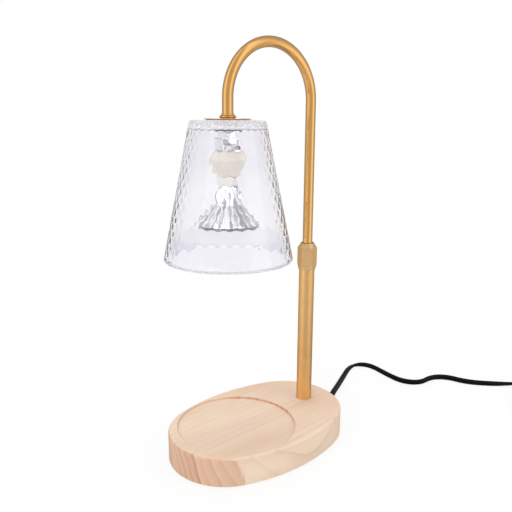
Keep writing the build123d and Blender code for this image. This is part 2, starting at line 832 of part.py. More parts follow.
contact_thickness = 0.6
with BuildPart() as contact_plates:
    with BuildSketch(under_arch(chamber_top)):
        with PolarLocations(0, 2):
            SlotArc(pin_arc, 2 * pin_head_radius - 1)
    extrude(amount=-contact_thickness)
contact_plates.part.label = "contact_plates"
export_step(contact_plates.part, "parts/contact_plates.step")

# ---------------------------------------------------------------- lead
# The boot: a flange in the pocket, a neck through the wood and a taper that curls left
taper_start = wall_x + 2.0
with BuildPart() as cord_boot:
    with BuildSketch(through_wall(pocket_to_x - boot_flange)):
        Circle(boot_neck_radius + 1.0)
    extrude(amount=boot_flange)
    with BuildSketch(through_wall(pocket_to_x)):
        Circle(boot_neck_radius)
    extrude(amount=wall_x - pocket_to_x)
    with BuildSketch(through_wall(wall_x)):
        Circle(boot_shoulder_radius)
    extrude(amount=taper_start - wall_x)
    with BuildLine(Plane.XY.offset(exit_z)) as curl:
        JernArc((taper_start, exit_y), (1, 0), boot_bend_radius, boot_turn)
    boot_line = curl.wires()[0]
    with BuildSketch(Plane(origin=boot_line @ 0, z_dir=boot_line % 0)) as shoulder:
        Circle(boot_shoulder_radius)
    with BuildSketch(Plane(origin=boot_line @ 1, z_dir=boot_line % 1)) as mouth:
        Circle(boot_mouth_radius)
    sweep([shoulder.sketch, mouth.sketch], path=boot_line, multisection=True)
cord_boot.part.label = "cord_boot"
export_step(cord_boot.part, "parts/cord_boot.step")
boot_exit = boot_line @ 1
past_boot = boot_exit + boot_line % 1 * 17.3


def free_lead(name, points):
    """A round tube on the floor: straight runs with a tangent arc at every corner, each
    arc taking 0.45 of the shorter run beside it. Prints what a cable maker would check."""
    places = [Vector(*p) for p in points]
    radii = []
    for before, corner, after in zip(places, places[1:], places[2:]):
        run_in, run_out = corner - before, after - corner
        turn = radians(run_in.get_angle(run_out))
        radii.append(0.45 * min(run_in.length, run_out.length) / tan(turn / 2))
    with BuildLine() as path:
        FilletPolyline(*places, radius=radii)
    route = path.wires()[0]
    with BuildSketch(Plane(origin=route @ 0, z_dir=route % 0)) as section:
        Circle(cord_radius)
    sweep(section.sketch, path=route)
    print(name, "length", round(route.length, 1), "radii", [round(r, 1) for r in radii])
    return route.length * pi * cord_radius**2


floor_z = cord_radius
lead_points = [
    (boot_exit.X, boot_exit.Y, exit_z),
    (past_boot.X, past_boot.Y, exit_z),
    (150.5, 31.5, 5.4),
    (172.5, 45.3, floor_z),
    (207.5, 64.7, floor_z),
    (225.2, 60.4, floor_z),
    (235.2, 45.9, floor_z),
    (230.0, 17.0, floor_z),
    (227.0, -10.5, floor_z),
    (241.5, -28.0, floor_z),
    (266.5, -26.5, floor_z),
    (283.0, -38.5, floor_z),
    (289.0, -63.0, floor_z),
    (309.5, -86.6, floor_z),
    (329.0, -101.0, floor_z),
    (338.0, -111.1, 5.2),
    (346.2, -120.3, dimmer_height / 2),
    (dimmer_nose[0], dimmer_nose[1], dimmer_height / 2),
]
with BuildPart() as cord_lead:
    lead_volume = free_lead("cord_lead", lead_points)
print("cord_lead volume", round(cord_lead.part.volume), "against", round(lead_volume))
cord_lead.part.label = "cord_lead"
export_step(cord_lead.part, "parts/cord_lead.step")

# From the dimmer's far end the lead swings round into the coil's outer turn
dimmer_plane = Plane((*dimmer_nose, 0), x_dir=(*dimmer_heading, 0), z_dir=(0, 0, 1))
coil_edge_y = coil_centre[1] - coil_mean_radius - (coil_columns - 1) / 2 * cord_width
link_run = 18.0
link_start = dimmer_plane.from_local_coords((dimmer_length, 0, dimmer_height / 2))
link_first = dimmer_plane.from_local_coords((dimmer_length + link_run, 0, dimmer_height / 2))
link_points = [
    tuple(link_start),
    tuple(link_first),
    (link_first.X - 0.7, link_first.Y - link_run, 5.4),
    (link_first.X - 13.7, coil_edge_y, floor_z),
    (367.0, coil_edge_y + 0.2, floor_z),
    (342.0, coil_edge_y, floor_z),
    (322.0, coil_edge_y, floor_z),
]
with BuildPart() as cord_link:
    link_volume = free_lead("cord_link", link_points)
print("cord_link volume", round(cord_link.part.volume), "against", round(link_volume))
cord_link.part.label = "cord_link"
export_step(cord_link.part, "parts/cord_link.step")

# The spare lead lies coiled: three turns side by side, two deep, as one solid ring
coil_axis = Axis((*coil_centre, 0), (0, 0, 1))
coil_section = Plane((*coil_centre, 0), x_dir=(1, 0, 0), z_dir=(0, -1, 0))
coil_thickness = coil_columns * cord_width
with BuildPart() as cord_coil:
    with BuildSketch(coil_section):
        with Locations((coil_mean_radius, coil_layers * cord_width / 2)):
            RectangleRounded(coil_thickness, coil_layers * cord_width, cord_radius - 0.1)
    revolve(axis=coil_axis)
cord_coil.part.label = "cord_coil"
export_step(cord_coil.part, "parts/cord_coil.step")

tail_z = floor_z + (coil_layers - 1) * cord_width
plug_z = plug_height / 2
tail_points = [
    (302.0, coil_edge_y, tail_z),
    (287.0, coil_edge_y, tail_z),
    (272.0, plug_axis_y, plug_z),
    (plug_nose_x, plug_axis_y, plug_z),
]
with BuildPart() as cord_tail:
    tail_volume = free_lead("cord_tail", tail_points)
print("cord_tail volume", round(cord_tail.part.volume), "against", round(tail_volume))
cord_tail.part.label = "cord_tail"
export_step(cord_tail.part, "parts/cord_tail.step")

# ---------------------------------------------------------------- dimmer
# Two half shells that meet at the lead's height, with a thumbwheel between them
wheel_x = dimmer_length / 2
wheel_bottom = (dimmer_height - wheel_thickness) / 2
boss_radius = 3.4
dimmer_screw_radius = 1.2
dimmer_screw_head = 2.2
boss_places = ((boss_radius + dimmer_wall + 2.6, 0), (dimmer_length - boss_radius - dimmer_wall - 2.6, 0))


def dimmer_level(z):
    """The level plane at height z that lies along the dimmer, from its nose."""
    return Plane(dimmer_plane.origin + Vector(0, 0, z), x_dir=dimmer_plane.x_dir, z_dir=(0, 0, 1))


def dimmer_outline(inset):
    """The dimmer's plan, moved in by inset."""
    with Locations((dimmer_length / 2, 0)):
        RectangleRounded(
            dimmer_length - 2 * inset, dimmer_width - 2 * inset, dimmer_end_radius - inset
        )


with BuildPart() as dimmer_bottom:
    with BuildSketch(dimmer_level(0)):
        dimmer_outline(0)
    extrude(amount=dimmer_height / 2)
    fillet(dimmer_bottom.faces().sort_by(Axis.Z)[0].edges(), 2.0)
    with BuildSketch(dimmer_level(dimmer_wall)):
        dimmer_outline(dimmer_wall)
    extrude(amount=dimmer_height, mode=Mode.SUBTRACT)
    with BuildSketch(dimmer_level(dimmer_wall)):
        with Locations(*boss_places):
            Circle(boss_radius)
    extrude(amount=dimmer_height / 2 - dimmer_wall)
    with BuildSketch(dimmer_level(dimmer_wall)):
        with Locations((wheel_x, wheel_offset)):
            Circle(spindle_radius + 1.6)
    extrude(amount=wheel_bottom - running_fit - dimmer_wall)
    with BuildSketch(dimmer_level(dimmer_wall)):
        with Locations((wheel_x, wheel_offset)):
            Circle(spindle_radius)
    extrude(amount=dimmer_height - 2 * dimmer_wall)
    with BuildSketch(dimmer_level(wheel_bottom - running_fit)):
        with Locations((wheel_x, wheel_offset)):
            annulus(wheel_radius + free_gap, spindle_radius)
    extrude(amount=dimmer_height / 2, mode=Mode.SUBTRACT)
    with BuildSketch(dimmer_level(0)):
        with Locations(*boss_places):
            Circle(dimmer_screw_radius)
    extrude(amount=dimmer_height / 2, mode=Mode.SUBTRACT)
    with BuildSketch(dimmer_level(0)):
        with Locations(*boss_places):
            Circle(dimmer_screw_head + free_gap)
    extrude(amount=dimmer_wall, mode=Mode.SUBTRACT)
dimmer_bottom.part.label = "dimmer_bottom"
export_step(dimmer_bottom.part, "parts/dimmer_bottom.step")

with BuildPart() as dimmer_top:
    with BuildSketch(dimmer_level(dimmer_height / 2)):
        dimmer_outline(0)
    extrude(amount=dimmer_height / 2)
    fillet(dimmer_top.faces().sort_by(Axis.Z)[-1].edges(), 3.0)
    with BuildSketch(dimmer_level(dimmer_height - dimmer_wall)):
        dimmer_outline(dimmer_wall)
    extrude(amount=-dimmer_height, mode=Mode.SUBTRACT)
    with BuildSketch(dimmer_level(dimmer_height / 2)):
        with Locations(*boss_places):
            annulus(boss_radius, dimmer_screw_radius)
    extrude(amount=dimmer_height / 2 - dimmer_wall)
    with BuildSketch(dimmer_level(dimmer_height / 2)):
        with Locations((wheel_x, wheel_offset)):
            Circle(wheel_radius + free_gap)
    extrude(amount=wheel_thickness / 2 + running_fit, mode=Mode.SUBTRACT)
dimmer_top.part.label = "dimmer_top"
export_step(dimmer_top.part, "parts/dimmer_top.step")

with BuildPart() as dimmer_screws:
    with BuildSketch(dimmer_level(dimmer_wall)):
        with Locations(*boss_places):
            Circle(dimmer_screw_radius)
    extrude(amount=dimmer_height - 2 * dimmer_wall - 2)
    with BuildSketch(dimmer_level(dimmer_wall)):
        with Locations(*boss_places):
            Circle(dimmer_screw_head)
    extrude(amount=-1.2)
dimmer_screws.part.label = "dimmer_screws"
export_step(dimmer_screws.part, "parts/dimmer_screws.step")

with BuildPart() as dimmer_wheel:
    with BuildSketch(dimmer_level(wheel_bottom)):
        with Locations((wheel_x, wheel_offset)):
            annulus(wheel_radius, spindle_radius + running_fit)
            with PolarLocations(wheel_radius + 0.2, wheel_ribs):
                Circle(0.8, mode=Mode.SUBTRACT)
    extrude(amount=wheel_thickness)
dimmer_wheel.part.label = "dimmer_wheel"
export_step(dimmer_wheel.part, "parts/dimmer_wheel.step")

# ---------------------------------------------------------------- plug
# The plug lies on its side, its blades standing on edge and pointing along -X
plug_face_x = plug_nose_x - plug_relief_length
plug_end_x = plug_face_x - plug_length
blade_root = 8.0


def across_plug(x):
    """The upright plane at x that faces +X, centred on the plug."""
    return Plane((x, plug_axis_y, plug_z), x_dir=(0, 1, 0), z_dir=(1, 0, 0))


with BuildPart() as plug_body:
    with BuildSketch(across_plug(plug_end_x)):
        RectangleRounded(plug_width, plug_height, 4.0)
    extrude(amount=plug_length)
    fillet(plug_body.faces().sort_by(Axis.X)[-1].edges(), 2.5)
    fillet(plug_body.faces().sort_by(Axis.X)[0].edges(), 0.8)
    relief_axis = Axis((0, plug_axis_y, plug_z), (1, 0, 0))
    with BuildSketch(Plane((plug_face_x, plug_axis_y, plug_z), x_dir=(1, 0, 0), z_dir=(0, 0, 1))):
        with BuildLine():
            Polyline(
                (-2.0, 0),
                (-2.0, 6.2),
                (0, 6.2),
                (plug_relief_length, cord_radius + 0.8),
                (plug_relief_length, 0),
                close=True,
            )
        make_face()
    revolve(axis=relief_axis)
    with BuildSketch(across_plug(plug_end_x)):
        with Locations((blade_pitch / 2, 0), (-blade_pitch / 2, 0)):
            Rectangle(blade_thickness, blade_width)
    extrude(amount=blade_root, mode=Mode.SUBTRACT)
plug_body.part.label = "plug_body"
export_step(plug_body.part, "parts/plug_body.step")

blade_tip_x = plug_end_x - blade_length
with BuildPart() as plug_blades:
    with BuildSketch(across_plug(blade_tip_x)):
        with Locations((blade_pitch / 2, 0), (-blade_pitch / 2, 0)):
            Rectangle(blade_thickness, blade_width)
    extrude(amount=blade_length + blade_root)
    blade_tips = plug_blades.faces().filter_by(Axis.X).sort_by(Axis.X)[0:2]
    chamfer(blade_tips.edges().filter_by(Axis.Y), 1.0)
    with BuildSketch(Plane((blade_tip_x + 3.6, plug_axis_y, plug_z), x_dir=(1, 0, 0), z_dir=(0, 1, 0))):
        Circle(1.55)
    extrude(amount=plug_width / 2, both=True, mode=Mode.SUBTRACT)
plug_blades.part.label = "plug_blades"
export_step(plug_blades.part, "parts/plug_blades.step")
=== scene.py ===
# %% [markdown]
# # A candle warmer lamp
# The lamp stands on an oval wooden base, climbs a telescoping gold pole and hangs a pressed
# glass shade over the candle. A spotlight bulb in the shade melts the wax from above. The
# frame already holds every hard piece in its right place, so this notebook gives those
# pieces their finishes and makes the ones whose shape CAD leaves plain: the cut glass, the
# beaded ferrule, the faceted bulb, the rings and ribs, and the flat twin lead.

# %% Load the frame
from math import acos, cos, pi, radians, sin
import bmesh
import bpy
from mathutils import Matrix, Vector


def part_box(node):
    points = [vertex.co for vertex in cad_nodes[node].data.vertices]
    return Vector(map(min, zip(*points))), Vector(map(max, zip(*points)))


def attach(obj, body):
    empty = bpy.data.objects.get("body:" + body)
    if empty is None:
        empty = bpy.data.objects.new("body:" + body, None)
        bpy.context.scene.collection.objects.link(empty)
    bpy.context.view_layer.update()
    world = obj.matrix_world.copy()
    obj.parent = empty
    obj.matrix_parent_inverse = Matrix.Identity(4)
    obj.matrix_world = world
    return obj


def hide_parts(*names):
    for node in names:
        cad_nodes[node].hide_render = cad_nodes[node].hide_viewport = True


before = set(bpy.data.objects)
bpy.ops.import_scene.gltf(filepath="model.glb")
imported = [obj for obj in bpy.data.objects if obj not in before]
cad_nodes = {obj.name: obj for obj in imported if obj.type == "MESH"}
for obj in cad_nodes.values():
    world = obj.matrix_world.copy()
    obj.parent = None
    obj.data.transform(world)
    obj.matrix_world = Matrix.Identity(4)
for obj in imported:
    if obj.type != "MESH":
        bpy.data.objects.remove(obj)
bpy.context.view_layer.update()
mm = 0.001

# %% [markdown]
# ## The camera
# A lamp is looked at from a little above, turned so that the candle seat comes forward. The
# direction is given as three angles, and the camera's axes are worked out from them. That
# is easier to read and to change than a matrix of nine numbers.

# %% The camera
scene = bpy.context.scene
scene.view_settings.view_transform = "Standard"


def aim_camera(place, azimuth, pitch, roll, lens, sensor_width=36.0):
    """A camera at place. Azimuth 0 looks along +Y, and pitch is how far it looks down."""
    back = Vector((sin(azimuth) * cos(pitch), -cos(azimuth) * cos(pitch), sin(pitch)))
    right = Vector((0, 0, 1)).cross(back).normalized()
    up = back.cross(right)
    level_right = cos(roll) * right + sin(roll) * up
    level_up = cos(roll) * up - sin(roll) * right
    axes = Matrix((level_right, level_up, back)).transposed().to_4x4()
    axes.translation = place
    camera = bpy.data.objects.new("studio_camera", bpy.data.cameras.new("studio_camera"))
    camera.data.lens = lens
    camera.data.sensor_width = sensor_width
    camera.data.clip_start = 0.01
    camera.matrix_world = axes
    scene.collection.objects.link(camera)
    scene.camera = camera
    return camera


camera = aim_camera(
    place=Vector((-0.3532, -0.4227, 0.32187)),
    azimuth=radians(-39.585),
    pitch=radians(12.88),
    roll=radians(0.275),
    lens=41.27,
)
print("camera", tuple(round(v, 3) for v in camera.location), "lens", camera.data.lens)

# %% [markdown]
# ## Helpers for node trees
# Every finish below is a small tree of nodes. `add` makes one node, sets its options and
# feeds its inputs: a plain value is typed in, and a signal is linked. A `Signal` is one
# output of a node. It adds, subtracts, multiplies and divides as a number does, and each of
# these makes a Math node, so a tree reads like a formula. `sums` makes any Math node, also
# one that has no sign of its own, such as a sine.

# %% Helpers for node trees
class Signal:
    """One output of a node: the first, unless another is named, as in signal["X"]."""

    def __init__(self, node, output=0):
        self.node = node
        self.output = output
        self.tree = node.id_data

    def __getitem__(self, output):
        return Signal(self.node, output)

    def __add__(self, other):
        return sums("ADD", self, other)

    def __sub__(self, other):
        return sums("SUBTRACT", self, other)

    def __rsub__(self, other):
        return sums("SUBTRACT", other, self)

    def __mul__(self, other):
        return sums("MULTIPLY", self, other)

    def __truediv__(self, other):
        return sums("DIVIDE", self, other)


def feed(node, name, value):
    """Links a signal to a node's input, or types a plain value into it."""
    socket = node.inputs[name]
    if isinstance(value, Signal):
        node.id_data.links.new(value.node.outputs[value.output], socket)
    else:
        socket.default_value = value


def add(tree, kind, inputs=None, **options):
    """One new node of a tree, as a signal, with its options set and its inputs fed."""
    made = tree.nodes.new(kind)
    for name, value in options.items():
        setattr(made, name, value)
    for name, value in (inputs or {}).items():
        feed(made, name, value)
    return Signal(made)


def sums(operation, *values):
    """The result of one Math node. One of the values at least is a signal."""
    tree = next(v.tree for v in values if isinstance(v, Signal))
    return add(tree, "ShaderNodeMath", dict(enumerate(values)), operation=operation)


def split(vector):
    """A vector's parts: split(vector)["X"] is the first."""
    return add(vector.tree, "ShaderNodeSeparateXYZ", {"Vector": vector})


def between(value, low, high, to_low=0.0, to_high=1.0, smooth=False):
    """value, mapped from low..high to to_low..to_high and held there beyond."""
    limits = {"Value": value, "From Min": low, "From Max": high, "To Min": to_low, "To Max": to_high}
    kind = "SMOOTHSTEP" if smooth else "LINEAR"
    return add(value.tree, "ShaderNodeMapRange", limits, interpolation_type=kind)


# %% [markdown]
# ## The lead
# The lead is a flat twin cable, 6.8 mm wide and 3.7 mm thick. Such a cable has a fixed
# length and a mind of its own: it lies in slack waves and stands on its edge in one place
# and flat in another. It leaves the base at the foot of the pole, meets a small dimmer,
# and what isn't needed lies in a neat coil with the plug beside it.
#
# One smooth NURBS line carries the whole lead. Each of its points has a twist as well: 0
# where the cable stands on edge, 90 where it lies flat. On the floor, the height follows
# from the twist.

# %% The route of the lead
lead_width = 6.8 * mm
lead_thickness = 3.7 * mm
core_radius = lead_thickness / 2
core_offset = (lead_width - lead_thickness) / 2


def standing_height(twist):
    """How high the lead's middle is above the floor at a twist in degrees."""
    return core_radius + core_offset * abs(cos(radians(twist)))


def on_floor(x, y, twist):
    """A point of the lead, in mm, where it lies on the floor."""
    return (x * mm, y * mm, standing_height(twist), twist)


def raised(x, y, z, twist):
    """A point of the lead, in mm, where its middle is at height z."""
    return (x * mm, y * mm, z * mm, twist)


lead_exit = (97.0 * mm, 4.0 * mm, 8.0 * mm)
base_to_dimmer = [
    (*lead_exit, 90),
    raised(108.9, 4.0, 8.0, 90),
    raised(132.48, 17.61, 8.0, 90),
    raised(150.5, 28.2, 5.4, 90),
    on_floor(176.5, 44.2, 90),
    on_floor(212.5, 63.6, 76),
    on_floor(228.0, 59.0, 34),
    on_floor(235.2, 44.5, 10),
    on_floor(230.0, 17.0, 0),
    on_floor(227.0, -10.5, 0),
    on_floor(241.5, -28.0, 8),
    on_floor(266.5, -26.5, 0),
    on_floor(283.0, -38.5, 0),
    on_floor(289.0, -63.0, 4),
    on_floor(309.5, -86.6, 12),
    on_floor(329.0, -101.0, 48),
    raised(338.0, -111.1, 4.4, 90),
    raised(346.2, -120.3, 8.0, 90),
    raised(352.5, -127.4, 8.0, 90),
]
dimmer_to_coil = [
    raised(391.01, -170.78, 8.0, 90),
    raised(402.96, -184.25, 8.0, 70),
    raised(402.26, -202.25, 5.4, 30),
    on_floor(389.26, -215.4, 0),
    on_floor(367.0, -215.2, 0),
    on_floor(342.0, -215.4, 0),
    on_floor(322.0, -215.4, 0),
]
coil_to_plug = [
    raised(302.0, -215.4, 10.2, 0),
    raised(287.0, -215.4, 10.0, 20),
    raised(272.0, -217.2, 8.5, 80),
    raised(258.0, -217.2, 8.5, 90),
    raised(240.0, -217.2, 8.5, 90),
]
print(len(base_to_dimmer) + len(dimmer_to_coil) + len(coil_to_plug), "points outside the coil")

# %% [markdown]
# The coil has three turns side by side and two deep. A turn is sixteen points on a circle.
# A quadratic NURBS line cuts inside its points, so the points' circle is two per cent
# larger than the turn. Between two turns the line steps sideways over the last or first
# sixth of a turn, and it climbs to the second layer on the smallest circle.

# %% The turns of the coil, with radii and heights in mm
coil_middle = Vector((0.309, -0.174))
turn_radii = [41.4, 35.0, 28.6, 28.6, 35.0, 41.4]
turns_per_layer = 3
points_per_turn = 16
sidestep_share = 0.17
climb_share = 0.25
layer_heights = (3.4, 10.2)


def coil_points():
    """Six turns, clockwise from above, from the coil's south point back to it."""
    points = []
    widen = 1 / cos(pi / points_per_turn)
    low, high = layer_heights
    for turn, radius in enumerate(turn_radii):
        before = turn_radii[max(turn - 1, 0)]
        after = turn_radii[min(turn + 1, len(turn_radii) - 1)]
        for k in range(points_per_turn):
            share = (k + 0.5) / points_per_turn
            size = radius
            if turn < turns_per_layer - 1 and share > 1 - sidestep_share:
                size = radius + (after - radius) * (share - (1 - sidestep_share)) / sidestep_share
            if turn > turns_per_layer and share < sidestep_share:
                size = before + (radius - before) * share / sidestep_share
            height = low if turn < turns_per_layer else high
            if turn == turns_per_layer - 1 and share > 1 - climb_share:
                height = low + (high - low) * (share - (1 - climb_share)) / climb_share
            angle = -pi / 2 - 2 * pi * share
            place = coil_middle + Vector((cos(angle), sin(angle))) * size * mm * widen
            points.append((place.x, place.y, height * mm, 0))
    return points


lead_points = base_to_dimmer + dimmer_to_coil + coil_points() + coil_to_plug
print(len(lead_points), "points on the whole lead")

# %% The line of the lead
line_steps = 8


def nurbs_line(name, points, steps):
    """The points that a smooth open NURBS line passes through, as Blender evaluates it."""
    curve = bpy.data.curves.new(name, "CURVE")
    curve.dimensions = "3D"
    spline = curve.splines.new("NURBS")
    spline.points.add(len(points) - 1)
    for point, place in zip(spline.points, points):
        point.co = (*place[:3], 1)
    spline.order_u = 3
    spline.use_endpoint_u = True
    spline.resolution_u = steps
    holder = bpy.data.objects.new(name, curve)
    mesh = bpy.data.meshes.new_from_object(holder)
    line = [v.co.copy() for v in mesh.vertices]
    bpy.data.meshes.remove(mesh)
    bpy.data.objects.remove(holder)
    bpy.data.curves.remove(curve)
    return line


lead_line = nurbs_line("lead_line", lead_points, line_steps)

# %% [markdown]
# The cable's cross-section is two round cores side by side, with a shallow groove between
# them that light catches. It is swept along the line by hand, because a curve's own bevel
# can't be twisted by a list of angles. The UV map runs along the lead in metres and once
# round it, so that the skin's texture follows every bend.

# %% The skin of the lead
points_per_core = 10
groove_share = 0.84


def twin_section():
    """Points round the section of a twin cable: (across its width, across its thickness)."""
    outline = []
    groove = acos(core_offset / core_radius) * groove_share
    for side in (1, -1):
        for k in range(points_per_core):
            angle = -(pi - groove) + 2 * (pi - groove) * k / (points_per_core - 1)
            wide = side * (core_offset + core_radius * cos(angle))
            outline.append((wide, side * core_radius * sin(angle)))
    return outline


def twist_at(step):
    """The twist at a step of the line: control point i sits near step (i - 0.5) times the
    steps between two points."""
    place = min(max(step / line_steps + 0.5, 0), len(lead_points) - 1)
    low = int(place)
    high = min(low + 1, len(lead_points) - 1)
    return lead_points[low][3] + (lead_points[high][3] - lead_points[low][3]) * (place - low)


def sweep_lead(name, line, section):
    """A closed tube along line, its section turned by the twist at each step."""
    mesh = bmesh.new()
    along_map = mesh.loops.layers.uv.new("along_lead")
    rings, distances, distance = [], [], 0.0
    for i, place in enumerate(line):
        ahead = (line[min(i + 1, len(line) - 1)] - line[max(i - 1, 0)]).normalized()
        level = Vector((ahead.y, -ahead.x, 0)).normalized()
        up = level.cross(ahead).normalized()
        twist = radians(twist_at(i))
        wide = cos(twist) * up + sin(twist) * level
        thin = ahead.cross(wide)
        middle = place.copy()
        middle.z = max(middle.z, standing_height(twist_at(i)))
        rings.append([mesh.verts.new(middle + wide * a + thin * b) for a, b in section])
        distance += (place - line[max(i - 1, 0)]).length
        distances.append(distance)
    count = len(section)
    for i in range(len(rings) - 1):
        for k in range(count):
            after = (k + 1) % count
            face = mesh.faces.new((rings[i][k], rings[i][after], rings[i + 1][after], rings[i + 1][k]))
            face.smooth = True
            for loop, u, v in zip(face.loops, (i, i, i + 1, i + 1), (k, k + 1, k + 1, k)):
                loop[along_map].uv = (distances[u], v / count)
    mesh.faces.new(rings[0])
    mesh.faces.new(rings[-1])
    bmesh.ops.recalc_face_normals(mesh, faces=mesh.faces)
    data = bpy.data.meshes.new(name)
    mesh.to_mesh(data)
    mesh.free()
    piece = bpy.data.objects.new(name, data)
    scene.collection.objects.link(piece)
    return piece


lead = sweep_lead("flat_twin_lead", lead_line, twin_section())
print("lead skin", len(lead.data.polygons), "faces")

# %% [markdown]
# ## The studio
# Glass and metal show what stands round them, so the studio matters as much as the lamp.
# Metal mirrors two wide soft boxes, one on each side of the camera, with darker room
# between and behind them: that is what gives a round tube two bright lines and dark edges.
# Cut glass bends its light from an almost even ring instead. The eight narrow gaps in it
# are a little darker and draw thin grey lines where the glass is steep. The camera itself
# sees a plain white backdrop, and matt surfaces get the same light from all round.

# %% The surroundings
white = (1, 1, 1, 1)
front = radians(230.4)
even_boxes = 8


def ring_of_softboxes(direction, boxes, first_gap, edge, strengths, rear=True):
    """Brightness by compass direction, from the first strength in a gap to the second on a
    soft box. edge says where it rises, from 0 in a gap's middle to 1 in a box's middle.
    Without rear, no box stands opposite the first gap."""
    parts = split(direction)
    from_gap = sums("ARCTAN2", parts["Y"], parts["X"]) - first_gap
    place = sums("PINGPONG", from_gap * (boxes / pi), 1.0)
    if not rear:
        place = place * sums("GREATER_THAN", sums("COSINE", from_gap), -0.5)
    return between(place, *edge, *strengths, smooth=True)


world = bpy.data.worlds.new("soft_studio")
scene.world = world
world.use_nodes = True
sky = world.node_tree
sky.nodes.clear()
ray = add(sky, "ShaderNodeLightPath")
direction = add(sky, "ShaderNodeTexCoord")["Generated"]
side_boxes = ring_of_softboxes(direction, 3, front, (0.42, 0.90), (0.58, 1.16), rear=False)
even_ring = ring_of_softboxes(direction, even_boxes, front + pi / even_boxes, (0.10, 0.35), (0.78, 1.0))
# matt surfaces get the plain light, and each other kind of ray sees a room of its own
inside = add(sky, "ShaderNodeBackground", {"Color": (1.0, 0.995, 0.985, 1), "Strength": 0.62})
seen_by = {"Is Glossy Ray": side_boxes, "Is Transmission Ray": even_ring, "Is Camera Ray": 1.0}
for kind, strength in seen_by.items():
    picture = add(sky, "ShaderNodeBackground", {"Color": white, "Strength": strength})
    inside = add(sky, "ShaderNodeMixShader", {0: ray[kind], 1: inside, 2: picture})
add(sky, "ShaderNodeOutputWorld", {"Surface": inside})
print("surroundings made of", len(sky.nodes), "nodes")

# %% [markdown]
# The floor is a pale disc. Under the lamp it is a matt surface that takes a soft shadow,
# and towards its rim it fades into the white of the backdrop, so no horizon shows. Its
# underside is clear, so that the lamp's foot can be looked at from below.

# %% The floor
floor_radius = 0.9
floor_middle = (0.05, -0.02, -0.0003)


def make_paper(radius):
    """The floor's surface: matt in the middle, the backdrop's white outside, clear below."""
    paper = bpy.data.materials.new("studio_paper")
    paper.use_nodes = True
    tree = paper.node_tree
    shader = tree.nodes["Principled BSDF"]
    feed(shader, "Base Color", (0.86, 0.86, 0.86, 1))
    feed(shader, "Roughness", 0.9)
    ray = add(tree, "ShaderNodeLightPath")
    spot = add(tree, "ShaderNodeTexCoord")["Object"]
    far = add(tree, "ShaderNodeVectorMath", {0: spot}, operation="LENGTH")["Value"]
    boxes = ring_of_softboxes(spot, 3, front, (0.30, 0.80), (0.66, 1.15), rear=False)
    # painted shade: for mirrored rays the floor glows less near the lamp, standing in for the lamp's own
    # shadow on it
    boxes = boxes * between(far, 0.12 * radius, 0.60 * radius, 0.50, 1.0)
    # a ray that comes out of glass counts as glossy too, so it is told apart here
    mirror_ray = ray["Is Glossy Ray"] - ray["Is Transmission Ray"]
    shine = between(mirror_ray, 0.0, 1.0, 1.0, boxes)
    glow = add(tree, "ShaderNodeEmission", {"Color": white, "Strength": shine})
    clean = between(far, 0.22 * radius, 0.85 * radius, 0.86, 1.0, smooth=True)
    seen = sums("MAXIMUM", ray["Is Camera Ray"], ray["Is Glossy Ray"])
    seen = sums("MAXIMUM", seen, ray["Is Transmission Ray"])
    top = add(tree, "ShaderNodeMixShader", {0: clean * seen, 1: Signal(shader), 2: glow})
    under = add(tree, "ShaderNodeNewGeometry")["Backfacing"]
    clear = add(tree, "ShaderNodeBsdfTransparent")
    both = add(tree, "ShaderNodeMixShader", {0: under, 1: top, 2: clear})
    feed(tree.nodes["Material Output"], "Surface", both)
    return paper


def make_floor(radius, middle):
    """A disc just under z = 0 that keeps a faint shadow and fades to the backdrop's white."""
    mesh = bmesh.new()
    bmesh.ops.create_circle(mesh, cap_ends=True, segments=96, radius=radius)
    data = bpy.data.meshes.new("studio_floor")
    mesh.to_mesh(data)
    mesh.free()
    data.materials.append(make_paper(radius))
    floor = bpy.data.objects.new("studio_floor", data)
    floor.location = middle
    scene.collection.objects.link(floor)
    return floor


floor = make_floor(floor_radius, floor_middle)
print("floor", round(floor.dimensions.x, 2), "m across")

# %% [markdown]
# Three large soft lamps shape the lamp: a key from the upper left, a fill from the right
# and one above. They are big and near, so shadows stay soft, and dim enough for a colour to
# come out about as it is written. Metal doesn't mirror them, because the soft boxes of the
# surroundings already give it its bright lines.

# %% The lamps
def soft_lamp(name, place, target, power, size=1.1):
    """A square area lamp that looks at target."""
    light = bpy.data.lights.new(name, "AREA")
    light.shape = "SQUARE"
    light.size = size
    light.energy = power
    lamp = bpy.data.objects.new(name, light)
    lamp.location = place
    lamp.rotation_euler = (Vector(target) - Vector(place)).to_track_quat("-Z", "Y").to_euler()
    lamp.visible_glossy = False
    scene.collection.objects.link(lamp)


soft_lamp("key_lamp", (-1.15, -0.35, 1.05), (0.0, 0.0, 0.15), power=9.5)
soft_lamp("fill_lamp", (0.55, -1.20, 0.75), (0.05, 0.0, 0.18), power=6.0)
soft_lamp("top_lamp", (0.10, 0.25, 1.30), (0.0, 0.0, 0.10), power=6.0)

# %% [markdown]
# ## Finishes
# A finish starts with `new_finish`: a material, its shader, and the point of the piece that
# is being coloured, in metres. `tint` takes a colour as a paint chart gives it, 0 to 255,
# and turns it into the light values that the shader works in.

# %% Helpers for finishes
def tint(red, green, blue):
    """A screen colour, 0 to 255, as linear light."""
    def linear(v):
        v = v / 255
        return v / 12.92 if v <= 0.04045 else ((v + 0.055) / 1.055) ** 2.4

    return (linear(red), linear(green), linear(blue), 1.0)


def new_finish(name, **settings):
    """(material, shader, place) with the shader's constant settings typed in."""
    made = bpy.data.materials.new(name)
    made.use_nodes = True
    shader = made.node_tree.nodes["Principled BSDF"]
    for key, value in settings.items():
        feed(shader, key.replace("_", " "), value)
    return made, shader, add(made.node_tree, "ShaderNodeTexCoord")["Object"]


def stretched(place, scale, offset=(0, 0, 0)):
    """The point, scaled along each axis, so that a pattern becomes streaks."""
    return add(place.tree, "ShaderNodeMapping", {"Vector": place, "Scale": scale, "Location": offset})


